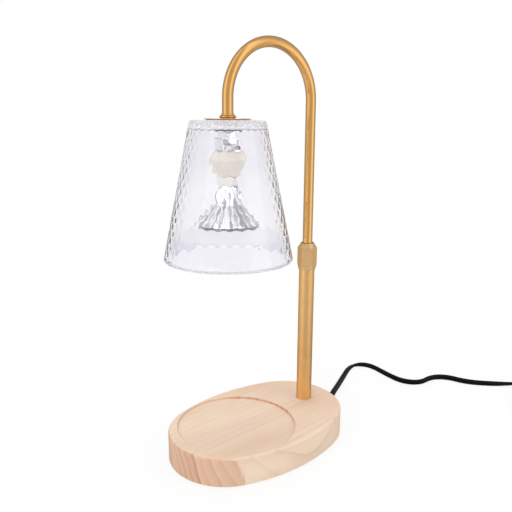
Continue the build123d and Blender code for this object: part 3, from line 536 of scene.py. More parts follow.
def grain(place, scale=1.0, detail=2.0, roughness=0.5):
    """Noise from 0 to 1 at a point."""
    inputs = {"Vector": place, "Scale": scale, "Detail": detail, "Roughness": roughness}
    return add(place.tree, "ShaderNodeTexNoise", inputs)["Fac"]


def chance(value):
    """A random number from 0 to 1, the same wherever value has the same whole part."""
    inputs = {"W": sums("FLOOR", value)}
    return add(value.tree, "ShaderNodeTexWhiteNoise", inputs, noise_dimensions="1D")["Value"]


def ramp(value, *stops):
    """A colour or a grey for a value, from stops of (position, colour)."""
    made = add(value.tree, "ShaderNodeValToRGB", {"Fac": value})
    elements = made.node.color_ramp.elements
    while len(elements) < len(stops):
        elements.new(0.5)
    for element, (position, colour) in zip(elements, stops):
        element.position = position
        element.color = colour
    return made["Color"]


def blend_colours(share, first, second):
    """Two colours mixed by a share."""
    return add(share.tree, "ShaderNodeMix", {0: share, 6: first, 7: second}, data_type="RGBA")[2]


def emboss(shader, height, strength, depth):
    """Small relief from a height, depth in metres where the height goes from 0 to 1."""
    bump = add(height.tree, "ShaderNodeBump", {"Height": height, "Strength": strength, "Distance": depth})
    feed(shader, "Normal", bump)


print("the grey 128 is", round(tint(128, 128, 128)[0], 3), "as light, where white is 1")

# %% [markdown]
# ### Wood
# The base is one block of pale rubberwood. Its year rings are layers that run along the base
# and stand almost upright in it, because the board was cut far from the middle of the tree.
# On top they show as a few thin lines along the grain, and at the end of the base, where
# they are cut across, as steep darker bands. One pattern does both, because it is worked
# out in the depth of the wood: the distance from a line far outside the board, the tree's
# middle. Every ring has its own strength, and fine pores run with the grain.

# %% Rubberwood
middle_beside, middle_below = 0.24, 0.075
board_slant = 0.06
ring_width = 0.0072


def rings_of_wood(place):
    """(ring, luck, late): how far through its ring a point is, from 0 to 1, the ring's own
    chance, and how much of the hard late wood is in it."""
    at = split(place)
    beside = at["Y"] - at["X"] * board_slant - middle_beside
    below = at["Z"] + middle_below
    waves = grain(stretched(place, (5.0, 24.0, 30.0)), detail=1.0)
    radius = sums("SQRT", beside * beside + below * below) + (waves - 0.5) * 0.010
    rings = radius / ring_width
    ring = sums("FRACT", rings)
    luck = chance(rings)
    return ring, luck, sums("POWER", ring, 5.0) * luck


def make_rubberwood():
    made, shader, place = new_finish("rubberwood", IOR=1.45)
    ring, luck, late = rings_of_wood(place)
    # along the grain
    fibre = grain(stretched(place, (14.0, 700.0, 700.0)), detail=3.0)
    fleck = grain(stretched(place, (55.0, 1500.0, 1500.0)), detail=1.0)
    pores = between(fleck, 0.68, 0.76)
    cloud = grain(stretched(place, (7.0, 30.0, 30.0), (3, 1, 2)))
    pale, middling, deep = tint(233, 210, 186), tint(227, 202, 180), tint(222, 193, 167)
    body = ramp(cloud, (0.30, pale), (0.50, middling), (0.70, deep))
    lined = blend_colours(late * 0.34, body, tint(190, 146, 122))
    fine = blend_colours(between(fibre, 0.40, 0.72, 0.0, 0.11), lined, tint(205, 164, 138))
    long_grain = blend_colours(pores * 0.22, fine, tint(166, 122, 94))
    # across the grain
    facing_x = split(place["Normal"])["X"]
    leaning = facing_x + split(place)["Z"] * 5.5
    left_end = between(leaning, -0.35, -0.29, 1.0, 0.0, smooth=True)
    right_end = between(facing_x, 0.60, 0.95, 0.0, 0.55, smooth=True)
    cut_across = sums("MAXIMUM", left_end, right_end)
    band = luck * 0.55 + ring * 0.45
    pale, middling, deep = tint(221, 185, 157), tint(213, 174, 148), tint(208, 163, 134)
    end_band = ramp(band, (0.05, pale), (0.50, middling), (0.85, deep))
    end_line = blend_colours(late * 0.85, end_band, tint(168, 114, 84))
    end_dots = between(grain(place, 1500.0, detail=1.0), 0.60, 0.72, 0.0, 0.16)
    end_wood = blend_colours(end_dots, end_line, tint(150, 108, 80))
    feed(shader, "Base Color", blend_colours(cut_across, long_grain, end_wood))
    feed(shader, "Roughness", between(fibre, 0.3, 0.8, 0.46, 0.62))
    emboss(shader, fibre - pores, 0.25, 0.0001)
    return made


rubberwood = make_rubberwood()
print("rubberwood has", len(rubberwood.node_tree.nodes), "nodes")

# %% [markdown]
# ### Metals
# The tubes carry a gold coat under clear lacquer. It is metal to the shader, with a
# roughness that varies a little and a fine orange peel, and the shader's own Coat is the
# lacquer, which lays a whiter gloss on the gold. Specular Tint makes the edges of a round
# tube darker and redder. The collar and the other turned brass pieces get faint lathe
# rings, and plated steel is brighter and smoother.

# %% Gold and steel
def make_metal(name, dark, light, edge, roughness, peel_scale, peel_depth, turned=False, **settings):
    """A metal finish: two colours that mix in clouds, a roughness range, and a fine relief."""
    made, shader, place = new_finish(name, Metallic=1.0, Specular_Tint=edge, **settings)
    feed(shader, "Base Color", ramp(grain(place, 55.0, detail=3.0), (0.32, dark), (0.68, light)))
    feed(shader, "Roughness", between(grain(place, 120.0), 0.3, 0.7, *roughness))
    relief = grain(place, peel_scale)
    if turned:
        relief = relief + grain(stretched(place, (3.0, 3.0, 2600.0)), detail=1.0)
    emboss(shader, relief, 0.5, peel_depth)
    return made


gold_tube = make_metal(
    "gold_tube", tint(237, 174, 80), tint(243, 182, 90), edge=(0.10, 0.05, 0.015, 1),
    roughness=(0.12, 0.18), peel_scale=500.0, peel_depth=0.000001,
    Coat_Weight=1.0, Coat_Roughness=0.06, Coat_IOR=1.8,
)
gold_pole = make_metal(
    "gold_pole", tint(243, 195, 130), tint(248, 202, 138), edge=(0.46, 0.31, 0.17, 1),
    roughness=(0.42, 0.50), peel_scale=1200.0, peel_depth=0.000006,
    Coat_Weight=0.12, Coat_Roughness=0.40,
)
gold_brass = make_metal(
    "gold_brass", tint(245, 201, 144), tint(250, 208, 153), edge=(0.50, 0.36, 0.22, 1),
    roughness=(0.36, 0.46), peel_scale=1900.0, peel_depth=0.00001, turned=True,
)
zinc_steel = make_metal(
    "zinc_steel", tint(236, 237, 240), tint(250, 251, 253), edge=tint(250, 250, 255),
    roughness=(0.10, 0.20), peel_scale=700.0, peel_depth=0.00001,
)
contact_brass = make_metal(
    "contact_brass", tint(206, 180, 118), tint(226, 200, 140), edge=tint(250, 230, 200),
    roughness=(0.22, 0.34), peel_scale=900.0, peel_depth=0.00001,
)
print("metals", [m.name for m in (gold_tube, gold_pole, gold_brass, zinc_steel, contact_brass)])

# %% [markdown]
# ### Plastics, ceramic and rubber
# Each of these is a base colour with slight clouds, a roughness range and a relief at the
# scale of its surface: a spark-eroded mould leaves an even matt texture on the dimmer,
# fired steatite is a little chalky, and foam has open cells.

# %% Plastics and ceramic
def make_matt(name, dark, light, roughness, relief_scale, relief_depth, cloud_scale=40.0, **settings):
    """A plastic, ceramic or rubber finish."""
    made, shader, place = new_finish(name, **settings)
    cloud = grain(place, cloud_scale, detail=3.0)
    feed(shader, "Base Color", ramp(cloud, (0.30, dark), (0.70, light)))
    relief = grain(place, relief_scale, detail=3.0, roughness=0.6)
    feed(shader, "Roughness", between(relief, 0.3, 0.7, *roughness))
    emboss(shader, relief, 0.6, relief_depth)
    return made


steatite = make_matt(
    "steatite", tint(253, 242, 222), tint(255, 248, 232),
    roughness=(0.55, 0.72), relief_scale=1400.0, relief_depth=0.00004, cloud_scale=90.0,
)
bulb_ceramic = make_matt(
    "bulb_ceramic", tint(253, 250, 240), tint(255, 254, 248),
    roughness=(0.42, 0.60), relief_scale=1400.0, relief_depth=0.00003, cloud_scale=90.0,
)
foot_foam = make_matt(
    "foot_foam", tint(36, 35, 35), tint(52, 50, 49),
    roughness=(0.75, 0.95), relief_scale=1600.0, relief_depth=0.00016,
)
white_nylon = make_matt(
    "white_nylon", tint(226, 225, 218), tint(236, 235, 229),
    roughness=(0.35, 0.5), relief_scale=700.0, relief_depth=0.00002,
)
pink_bush = make_matt(
    "pink_bush", tint(240, 230, 232), tint(248, 240, 241),
    roughness=(0.25, 0.4), relief_scale=500.0, relief_depth=0.00002, Transmission_Weight=0.35, IOR=1.45,
)
lead_sleeve = make_matt(
    "lead_sleeve", tint(222, 218, 208), tint(232, 228, 220),
    roughness=(0.38, 0.52), relief_scale=900.0, relief_depth=0.00002,
)
black_abs = make_matt(
    "black_abs", tint(30, 30, 32), tint(38, 38, 40),
    roughness=(0.50, 0.66), relief_scale=2200.0, relief_depth=0.00006,
)
plug_pvc = make_matt(
    "plug_pvc", tint(24, 24, 25), tint(33, 33, 34),
    roughness=(0.34, 0.48), relief_scale=1500.0, relief_depth=0.00003,
)
print("moulded and fired finishes ready")

# %% [markdown]
# The lead's skin is extruded, so its marks run along it. Its tree reads the lead's own UV
# map, stretched so that noise becomes long fine lines.

# %% Skin of the lead
def make_lead_skin():
    made, shader, place = new_finish("lead_skin", IOR=1.45, Specular_IOR_Level=0.15)
    along = add(place.tree, "ShaderNodeUVMap", uv_map="along_lead")
    lines = grain(stretched(along, (14.0, 60.0, 1.0)))
    dust = grain(stretched(along, (90.0, 5.0, 1.0)), detail=3.0)
    feed(shader, "Base Color", ramp(dust, (0.3, tint(12, 12, 13)), (0.7, tint(20, 20, 21))))
    feed(shader, "Roughness", between(lines, 0.3, 0.7, 0.38, 0.52))
    emboss(shader, lines, 0.4, 0.00004)
    return made


lead_skin = make_lead_skin()
lead.data.materials.append(lead_skin)
print("lead skin on", lead.name)

# %% [markdown]
# ### Glass
# Pressed glass is clear with a faint grey-violet tint, and its surface is never quite still: slow waves from
# the mould bend the light between the cuts. Where the shade is thick, at its top, the glass is cloudier and
# bubbly, and the rim is ground to a satin. On the shade's wall the tint is also made stronger or fainter in
# bands by height. This is painted shade, which makes the glass look even where it is seen through one wall
# or through two.

# %% Clear glass
shade_glass_ior = 1.36
painted_bands_low, painted_bands_high = 0.190, 0.330


def make_glass(name, colour, clear, roughness, wave_scale, wave_depth, ior=shade_glass_ior, painted_shade_bands=()):
    """A glass finish. The last argument is a list of (height in metres, share): where the share is 1 the
    glass has its full colour, and where it is 0 only a quarter of it. These bands are painted shade: a
    stronger or fainter tint by height."""
    made, shader, place = new_finish(name, Base_Color=colour, Transmission_Weight=clear, IOR=ior)
    waves = grain(place, wave_scale, detail=1.0)
    if painted_shade_bands:
        height = between(split(place)["Z"], painted_bands_low, painted_bands_high)
        stops = [((z - painted_bands_low) / (painted_bands_high - painted_bands_low), (v, v, v, 1)) for z, v in painted_shade_bands]
        share = ramp(height, *stops) + between(waves, 0.3, 0.7, -0.06, 0.06)
        clearest = tuple(1 - (1 - c) * 0.25 for c in colour)
        feed(shader, "Base Color", blend_colours(share, clearest, colour))
    feed(shader, "Roughness", between(waves, 0.2, 0.8, *roughness))
    emboss(shader, waves, 0.5, wave_depth)
    return made


pressed_glass = make_glass(
    "pressed_glass", (0.880, 0.872, 0.928, 1.0), clear=0.95,
    roughness=(0.01, 0.04), wave_scale=60.0, wave_depth=0.0002,
    # painted shade: the tint is made stronger or fainter by height, so that the glass looks even through one
    # wall or two
    painted_shade_bands=[(0.198, 0.75), (0.2185, 1.0), (0.2245, 0.0), (0.262, 0.0), (0.284, 0.45)],
)
thick_glass = make_glass(
    "thick_glass", (0.965, 0.955, 0.995, 1.0), clear=0.48,
    roughness=(0.02, 0.10), wave_scale=420.0, wave_depth=0.0042,
)
ground_glass = make_glass(
    "ground_glass", (0.95, 0.95, 0.975, 1.0), clear=0.30,
    roughness=(0.45, 0.60), wave_scale=900.0, wave_depth=0.0001,
)
lens_glass = make_glass(
    "lens_glass", (0.985, 0.988, 0.985, 1.0), clear=1.0,
    roughness=(0.0, 0.02), wave_scale=90.0, wave_depth=0.0001, ior=1.5,
)
print("glass", [m.name for m in (pressed_glass, thick_glass, ground_glass, lens_glass)])

# %% [markdown]
# The bulb's dish is glass with mirror silver on it. The silver is as bright as the room it mirrors. On top
# of that, each flute of the dish is given a darker or brighter silver at random: painted streaks of
# reflection, so that the dish looks cut and not like one smooth bowl.

# %% Silvering
shade_axis_x = -0.0365
dish_facets = 42.0


def make_silvering():
    made, shader, place = new_finish("silvered_glass", Metallic=1.0, Specular_Tint=white)
    at = split(stretched(place, (1, 1, 1), (-shade_axis_x, 0, 0)))
    # two flutes to a facet
    flute = sums("ARCTAN2", at["Y"], at["X"]) * (2 * dish_facets / (2 * pi))
    cloud = grain(place, 160.0)
    # painted reflection: a random darker or brighter silver for each flute stands in for the streaks that
    # the dish mirrors
    painted_reflection_tone = chance(flute) * 0.75 + cloud * 0.25
    dull, plain, bright = tint(172, 173, 180), tint(224, 225, 229), tint(253, 253, 255)
    feed(shader, "Base Color", ramp(painted_reflection_tone, (0.18, dull), (0.42, plain), (0.68, bright)))
    feed(shader, "Roughness", between(cloud, 0.3, 0.7, 0.05, 0.12))
    emboss(shader, cloud, 0.5, 0.00006)
    return made


silvered_glass = make_silvering()
print("silvering for", dish_facets, "facets")

# %% [markdown]
# ## Geometry Nodes
# Three trees below make what follows a rule. Each takes a mesh in and hands one out, and has
# named inputs for its sizes. They start and end in the same way: at the end, instances are
# made real and the finish is laid on, because an export keeps only real faces.

# %% Starting and ending a tree
def start_tree(name, numbers, *others):
    """(tree, given): a Geometry Nodes tree with geometry in and out, an input for each of
    the numbers, with its default, and inputs of other kinds as (label, kind)."""
    tree = bpy.data.node_groups.new(name, "GeometryNodeTree")
    sockets = tree.interface
    sockets.new_socket("Geometry", in_out="INPUT", socket_type="NodeSocketGeometry")
    for label, value in numbers.items():
        kind = "NodeSocketInt" if isinstance(value, int) else "NodeSocketFloat"
        sockets.new_socket(label, in_out="INPUT", socket_type=kind).default_value = value
    for label, kind in others:
        sockets.new_socket(label, in_out="INPUT", socket_type=kind)
    sockets.new_socket("Geometry", in_out="OUTPUT", socket_type="NodeSocketGeometry")
    return tree, add(tree, "NodeGroupInput")


def end_tree(tree, geometry, finish):
    """Makes instances real, lays the finish on and hands the geometry out."""
    real = add(tree, "GeometryNodeRealizeInstances", {"Geometry": geometry})
    painted = add(tree, "GeometryNodeSetMaterial", {"Geometry": real, "Material": finish})
    add(tree, "NodeGroupOutput", {"Geometry": painted})
    print("the tree", tree.name, "has", len(tree.nodes), "nodes")
    return tree


# %% [markdown]
# ## The turned relief
# The shade, its ferrule and the bulb's dish, lens and capsule are all turned shapes, and
# the cuts of the shade and dish follow a rule, so one tree makes all five. The piece's own
# mesh is only half of its outline, as a bent wire. The tree rounds the wire's corners, then
# bends a flat grid round it: one direction of the grid becomes the angle and the other the
# way along the wire. Where a depth is given, it presses a relief into the outside: two
# families of spiral grooves cross and leave rows of pillow-shaped diamonds between them.

# %% The turned relief tree
def wave(value):
    """0 where value is whole, and 1 halfway between."""
    return sums("ABSOLUTE", sums("SINE", value * pi))


def make_turned_relief():
    numbers = {
        "Sides": 96, "Rows": 60, "Outer Rows": 0.5, "Outer Length": 0.5, "Axis X": 0.0, "Facets": 0.0,
        "Columns": 32.0, "Pitch": 0.012, "Depth": 0.0, "Relief Bottom": 0.0, "Relief Top": 1.0,
        "Fade": 0.002, "Sharpness": 0.6,
    }
    tree, given = start_tree("turned_relief", numbers, ("Glass", "NodeSocketMaterial"))
    # the wire with rounded corners
    wire = add(tree, "GeometryNodeMeshToCurve", {"Mesh": given["Geometry"]})
    rounding = add(tree, "GeometryNodeInputNamedAttribute", {"Name": "rounding"}, data_type="FLOAT")
    fillet = {"Curve": wire, "Radius": rounding["Attribute"], "Limit Radius": True, "Count": 5}
    wire = add(tree, "GeometryNodeFilletCurve", fillet, mode="POLY")
    # a flat grid whose two directions run from 0 to 1
    size = {"Size X": 1.0, "Size Y": 1.0, "Vertices X": given["Sides"] + 1, "Vertices Y": given["Rows"]}
    grid = add(tree, "GeometryNodeMeshGrid", size)["Mesh"]
    spot = split(add(tree, "GeometryNodeInputPosition"))
    around = spot["X"] + 0.5
    along = spot["Y"] + 0.5
    # the way along the wire: the outer rows take the outer length, and the others the rest
    outer_share = between(along, 0.0, given["Outer Rows"], 0.0, given["Outer Length"])
    rest_share = between(along, given["Outer Rows"], 1.0, 0.0, 1.0 - given["Outer Length"])
    share = outer_share + rest_share
    inputs = {"Curves": wire, "Factor": share}
    sample = add(tree, "GeometryNodeSampleCurve", inputs, mode="FACTOR", use_all_curves=True)
    wire_at = split(sample["Position"])
    wire_way = split(sample["Tangent"])
    # the relief: a pillow is 1 on its middle and 0 in the grooves round it
    turns = around * given["Columns"]
    rise = wire_at["Z"] / given["Pitch"]
    pillow = sums("POWER", wave(turns + rise) * wave(turns - rise), given["Sharpness"])
    bottom, top, fade = given["Relief Bottom"], given["Relief Top"], given["Fade"]
    above = between(wire_at["Z"], bottom, bottom + fade, smooth=True)
    below = between(wire_at["Z"], top - fade, top, 1.0, 0.0, smooth=True)
    outer = sums("LESS_THAN", share, given["Outer Length"])
    press = above * below * outer * (given["Depth"] * (1.0 - pillow))
    reach = wire_at["X"] - press * wire_way["Z"]
    height = wire_at["Z"] + press * wire_way["X"]
    # flat sides: a polygon inside the circle
    step = sums("DIVIDE", 2 * pi, sums("MAXIMUM", given["Facets"], 1.0))
    angle = around * (2 * pi)
    from_middle = sums("FLOORED_MODULO", angle, step) - step * 0.5
    polygon = sums("COSINE", step * 0.5) / sums("COSINE", from_middle)
    faceted = sums("GREATER_THAN", given["Facets"], 0.5)
    reach = reach * (faceted * (polygon - 1.0) + 1.0)
    x = given["Axis X"] + reach * sums("COSINE", angle)
    y = reach * sums("SINE", angle)
    place = add(tree, "ShaderNodeCombineXYZ", {"X": x, "Y": y, "Z": height})
    bent = add(tree, "GeometryNodeSetPosition", {"Geometry": grid, "Position": place})
    closed = add(tree, "GeometryNodeMergeByDistance", {"Geometry": bent, "Distance": 0.00001})
    smooth = add(tree, "GeometryNodeSetShadeSmooth", {"Geometry": closed})
    return end_tree(tree, smooth, given["Glass"])


turned_relief = make_turned_relief()

# %% [markdown]
# A tree does nothing until a piece wears it. `wear` puts the tree on an object, sets the
# inputs by their sockets' identifiers, takes the finished mesh and drops the modifier, so
# what stays is an ordinary piece that the frame can move and export.

# %% Wearing a tree
def outward(mesh):
    """Turns all faces outwards if the closed mesh has them inwards."""
    work = bmesh.new()
    work.from_mesh(mesh)
    if work.calc_volume(signed=True) < 0:
        bmesh.ops.reverse_faces(work, faces=work.faces)
    work.to_mesh(mesh)
    work.free()


def wear(name, start, tree, **inputs):
    """A plain piece: the mesh start as the tree leaves it."""
    carrier = bpy.data.objects.new(name, start)
    scene.collection.objects.link(carrier)
    modifier = carrier.modifiers.new(name, "NODES")
    modifier.node_group = tree
    sockets = {s.name: s.identifier for s in tree.interface.items_tree if s.in_out == "INPUT"}
    for label, value in inputs.items():
        modifier[sockets[label.replace("_", " ")]] = value
    bpy.context.view_layer.update()
    depsgraph = bpy.context.evaluated_depsgraph_get()
    finished = bpy.data.meshes.new_from_object(carrier.evaluated_get(depsgraph), depsgraph=depsgraph)
    finished.name = name
    carrier.modifiers.clear()
    carrier.data = finished
    outward(finished)
    print(name, len(finished.polygons), "faces")
    return carrier


def bare_wire(name, stations, attribute):
    """A wire through (x, y, z, value), all in mm, with the value kept as an attribute."""
    wire = bpy.data.meshes.new(name)
    places = [(x * mm, y * mm, z * mm) for x, y, z, _ in stations]
    wire.from_pydata(places, [(i, i + 1) for i in range(len(places) - 1)], [])
    kept = wire.attributes.new(attribute, "FLOAT", "POINT")
    for item, station in zip(kept.data, stations):
        item.value = station[3] * mm
    return wire


def turned_piece(name, outline, **inputs):
    """A turned piece on the shade's axis: (reach, height, rounding) for each corner, in mm."""
    stations = [(reach, 0, height, rounding) for reach, height, rounding in outline]
    wire = bare_wire(name, stations, "rounding")
    return wear(name, wire, turned_relief, Axis_X=shade_axis_x, **inputs)


# %% [markdown]
# ## The shade
# The shade is a cone of pressed glass, thick at the top where the pole's end is clamped. The
# wire starts in the middle of the lower rim, climbs the outside, crosses the top to the
# hole and comes back down the inside. Under the top a low boss stands round the hole, where
# the washers clamp. Most of the grid's rows go to the outside, where the diamonds are. The
# thick top and the ground rim are given their own finish by height.

# %% The glass shade, its outline in mm
shade_bottom, shade_top, boss_bottom, plate_bottom = 198.4, 323.2, 315.2, 318.2
hole_radius, boss_radius = 9.0, 14.5
rim_middle = (57.5, shade_bottom, 0)
shade_outline = [
    rim_middle, (59.5, shade_bottom, 1.1), (33.9, shade_top, 3.4), (hole_radius, shade_top, 0.6),
    (hole_radius, boss_bottom, 0.6), (boss_radius, boss_bottom, 0.8), (17.5, plate_bottom, 1.5),
    (30.92, plate_bottom, 1.2), (55.5, shade_bottom, 0.6), rim_middle,
]
shade = turned_piece(
    "cut_glass_shade", shade_outline,
    Sides=396, Rows=168, Outer_Rows=0.70, Outer_Length=0.420, Columns=33.0, Pitch=0.0125, Depth=0.00030,
    Relief_Bottom=(shade_bottom + 0.6) * mm, Relief_Top=(shade_top - 0.7) * mm, Fade=0.0015,
    Sharpness=1.1, Glass=pressed_glass,
)


def lay_finish(piece, finish, low, high):
    """Gives a second finish to the faces whose middle is between two heights in mm."""
    piece.data.materials.append(finish)
    slot = len(piece.data.materials) - 1
    faces = [f for f in piece.data.polygons if low * mm < f.center.z < high * mm]
    for face in faces:
        face.material_index = slot
    print(finish.name, "on", len(faces), "faces")


lay_finish(shade, thick_glass, plate_bottom - 1.8, shade_top + 1)
lay_finish(shade, ground_glass, shade_bottom - 1, shade_bottom + 0.9)
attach(shade, "arm")
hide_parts("glass_shade")

# %% [markdown]
# The ferrule is the small turned foot that hides where the tube meets the cap. It is undercut
# at the bottom, so it throws a thin dark line on the cap, and then it swells to a bead.

# %% The ferrule
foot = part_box("tube_ferrule")[0][2] / mm
ferrule_outline = [
    (5.0, foot, 0), (6.7, foot, 0.1), (6.7, foot + 0.7, 0.2), (7.5, foot + 1.1, 0.5), (7.5, foot + 2.2, 0.7),
    (6.0, foot + 2.9, 0.5), (5.5, foot + 4.4, 0.3), (5.0, foot + 4.4, 0), (5.0, foot, 0),
]
ferrule = turned_piece("beaded_ferrule", ferrule_outline, Sides=72, Rows=56, Glass=gold_tube)
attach(ferrule, "arm")
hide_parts("tube_ferrule")

# %% [markdown]
# ## The bulb
# The spotlight's reflector is a bell of glass, silvered and cut into flat sides: a narrow
# neck, then a wide dish. Its outline is given by a few points and the directions between
# them, with Hermite curves, which is how a bent strip of spring steel would lie.

# %% The outline of the bell, in mm
def spring(start, start_way, end, end_way, count):
    """Points on a Hermite curve from start to end, without the last one."""
    points = []
    long = (Vector(end) - Vector(start)).length
    way_in = Vector(start_way).normalized() * long
    way_out = Vector(end_way).normalized() * long
    for k in range(count):
        t = k / count
        place = (
            (2 * t**3 - 3 * t**2 + 1) * Vector(start) + (t**3 - 2 * t**2 + t) * way_in
            + (3 * t**2 - 2 * t**3) * Vector(end) + (t**3 - t**2) * way_out
        )
        points.append((place.x, place.y))
    return points


bell_top, neck, shoulder, dish_edge = (8.4, 265.7), (10.6, 257.7), (12.3, 249.7), (29.0, 231.6)
rim_bottom, rim_thickness = 229.0, 1.2
dish_inset, dish_lift = 1.15, 0.45
neck_points, dish_points = 5, 12
bell_outside = (
    spring(bell_top, (0.3, -1), neck, (0.24, -1), neck_points)
    + spring(neck, (0.24, -1), shoulder, (0.15, -1), neck_points)
    + spring(shoulder, (0.9, -1), dish_edge, (1.1, -1), dish_points)
)
dish_radius, dish_bottom = dish_edge
rim_inside = dish_radius - rim_thickness
rim = [dish_edge, (dish_radius, rim_bottom), (rim_inside, rim_bottom), (rim_inside, dish_bottom)]
dish_inside = [(r - dish_inset, z + dish_lift) for r, z in reversed(bell_outside[-dish_points:])]
neck_inside = [(r - rim_thickness, z) for r, z in (neck, bell_top)]
bell_outline = [(r, z, 0.0) for r, z in bell_outside + rim + dish_inside + neck_inside + [bell_top]]
print(len(bell_outline), "points round the bell")

# %% [markdown]
# The same tree turns the outline into the bell, now with flat sides. The rim below the dish
# is left clear, as on the real bulb, so it gets the lens's glass by its height.

# %% The reflector
reflector = turned_piece(
    "faceted_reflector", bell_outline,
    Sides=336, Rows=110, Outer_Rows=0.5, Outer_Length=0.46, Facets=dish_facets, Columns=dish_facets,
    Pitch=0.09, Depth=0.0007, Relief_Bottom=0.2330, Relief_Top=0.2640, Fade=0.002, Sharpness=0.6,
    Glass=silvered_glass,
)
lay_finish(reflector, lens_glass, rim_bottom - 1, dish_bottom + 0.1)
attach(reflector, "bulb")
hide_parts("reflector")

# %% [markdown]
# The lens is a flat glass with pressed rings, and the capsule is a small closed tube. Rings
# are only a zigzag in the outline.

# %% Lens and capsule, their outlines in mm
lens_front, lens_back, lens_radius = 229.2, 231.2, 27.6
ring_spacing, ring_depth, ring_front = 2.4, 0.32, 229.35
ring_steps = [(ring_spacing * k, ring_front + (ring_depth if k % 2 else 0.0), 0.25) for k in range(1, 12)]
lens_outline = [
    (0.0, lens_front, 0), *ring_steps, (lens_radius, lens_front + 0.3, 0.2),
    (lens_radius, lens_back, 0.4), (0.0, lens_back, 0),
]
lens = turned_piece("ringed_lens", lens_outline, Sides=96, Rows=90, Glass=lens_glass)
capsule_outline = [
    (0.0, 242.7, 0), (1.2, 242.75, 0.5), (3.2, 244.0, 1.2), (4.55, 247.5, 2.0), (4.55, 258.0, 0.5),
    (3.6, 265.6, 0.3), (0.0, 265.6, 0),
]
capsule = turned_piece("halogen_glass", capsule_outline, Sides=40, Rows=60, Glass=lens_glass)
for piece, node in ((lens, "bulb_lens"), (capsule, "halogen_capsule")):
    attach(piece, "bulb")
    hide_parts(node)

# %% [markdown]
# The filament is a coil of thin wire hung between two straight posts. Geometry Nodes has a
# spiral and a line ready made, and Curve to Mesh gives them the wire's thickness.

# %% The filament tree
def round_bar(line, radius, sides):
    """A closed bar along a curve."""
    profile = add(line.tree, "GeometryNodeCurvePrimitiveCircle", {"Resolution": sides, "Radius": radius})
    inputs = {"Curve": line, "Profile Curve": profile, "Fill Caps": True}
    return add(line.tree, "GeometryNodeCurveToMesh", inputs)


def make_filament():
    numbers = {
        "Turns": 9.0, "Coil Radius": 0.0008, "Coil Height": 0.0052, "Wire Radius": 0.00014,
        "Post Radius": 0.00032, "Post Reach": 0.0019, "Coil Bottom": 0.0, "Post Top": 0.0, "Axis X": 0.0,
    }
    tree, given = start_tree("filament", numbers, ("Metal", "NodeSocketMaterial"))
    coil_radius, coil_height = given["Coil Radius"], given["Coil Height"]
    inputs = {
        "Resolution": 12, "Rotations": given["Turns"], "Start Radius": coil_radius,
        "End Radius": coil_radius, "Height": coil_height,
    }
    spiral = add(tree, "GeometryNodeCurveSpiral", inputs)
    middle = add(tree, "ShaderNodeCombineXYZ", {"X": given["Axis X"], "Z": given["Coil Bottom"]})
    spiral = add(tree, "GeometryNodeSetPosition", {"Geometry": spiral, "Offset": middle})
    bars = [round_bar(spiral, given["Wire Radius"], 8)]
    # one post holds the coil's foot and the other its top
    for side, coil_end in ((-1.0, 0.0), (1.0, 1.0)):
        x = given["Axis X"] + given["Post Reach"] * side
        low = given["Coil Bottom"] + coil_height * coil_end
        start = add(tree, "ShaderNodeCombineXYZ", {"X": x, "Z": low})
        end = add(tree, "ShaderNodeCombineXYZ", {"X": x, "Z": given["Post Top"]})
        post = add(tree, "GeometryNodeCurvePrimitiveLine", {"Start": start, "End": end})
        bars.append(round_bar(post, given["Post Radius"], 10))
    joined = add(tree, "GeometryNodeJoinGeometry")
    for bar in bars:
        feed(joined.node, "Geometry", bar)
    return end_tree(tree, joined, given["Metal"])


filament = wear(
    "filament", bpy.data.meshes.new("filament"), make_filament(),
    Coil_Bottom=0.2480, Post_Top=0.2640, Axis_X=shade_axis_x, Metal=zinc_steel,
)
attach(filament, "bulb")

# %% [markdown]
# ## Rings and ribs
# Small things in a row are one shape, repeated. `repeat_along` puts it at even steps on a
# wire, turned to the wire's direction and scaled by the wire's own thickness there, so the
# same tree makes the rings of a strain relief that tapers and the grip ribs of the plug.

# %% The repeating tree
def make_repeat_along():
    others = (("Shape", "NodeSocketObject"), ("Finish", "NodeSocketMaterial"))
    tree, given = start_tree("repeat_along", {"Count": 8}, *others)
    wire = add(tree, "GeometryNodeMeshToCurve", {"Mesh": given["Geometry"]})
    steps = add(tree, "GeometryNodeResampleCurve", {"Curve": wire, "Count": given["Count"]})
    shape = add(tree, "GeometryNodeObjectInfo", {"Object": given["Shape"]})["Geometry"]
    thickness = add(tree, "GeometryNodeInputNamedAttribute", {"Name": "thickness"}, data_type="FLOAT")
    size = {axis: thickness["Attribute"] for axis in "XYZ"}
    way = add(tree, "GeometryNodeInputTangent")
    inputs = {
        "Points": steps, "Instance": shape, "Scale": add(tree, "ShaderNodeCombineXYZ", size),
        "Rotation": add(tree, "FunctionNodeAlignRotationToVector", {"Vector": way}, axis="X"),
    }
    placed = add(tree, "GeometryNodeInstanceOnPoints", inputs)
    return end_tree(tree, placed, given["Finish"])


def pattern_shape(name, fill):
    """A hidden object to repeat. fill puts the faces into its bmesh."""
    work = bmesh.new()
    fill(work)
    bmesh.ops.recalc_face_normals(work, faces=work.faces)
    for face in work.faces:
        face.smooth = True
    data = bpy.data.meshes.new(name)
    work.to_mesh(data)
    work.free()
    return bpy.data.objects.new(name, data)


repeat_along = make_repeat_along()

# %% [markdown]
# The strain relief is soft, and its rings let it bend. It leaves the base straight and
# turns to the left on an arc, so its rings stand on the same arc, each a little smaller
# than the one before. The ring is a unit shape, so the wire's thickness is its radius.

# %% Rings of the strain relief, in mm
boot_start = (99, 4, 8)
boot_bend_radius, boot_bend = 37, radians(30)
boot_radius, boot_taper = 5.2, 1.3
boot_steps = 12


def circle(count):
    """Even angles round a circle."""
    return [2 * pi * k / count for k in range(count)]


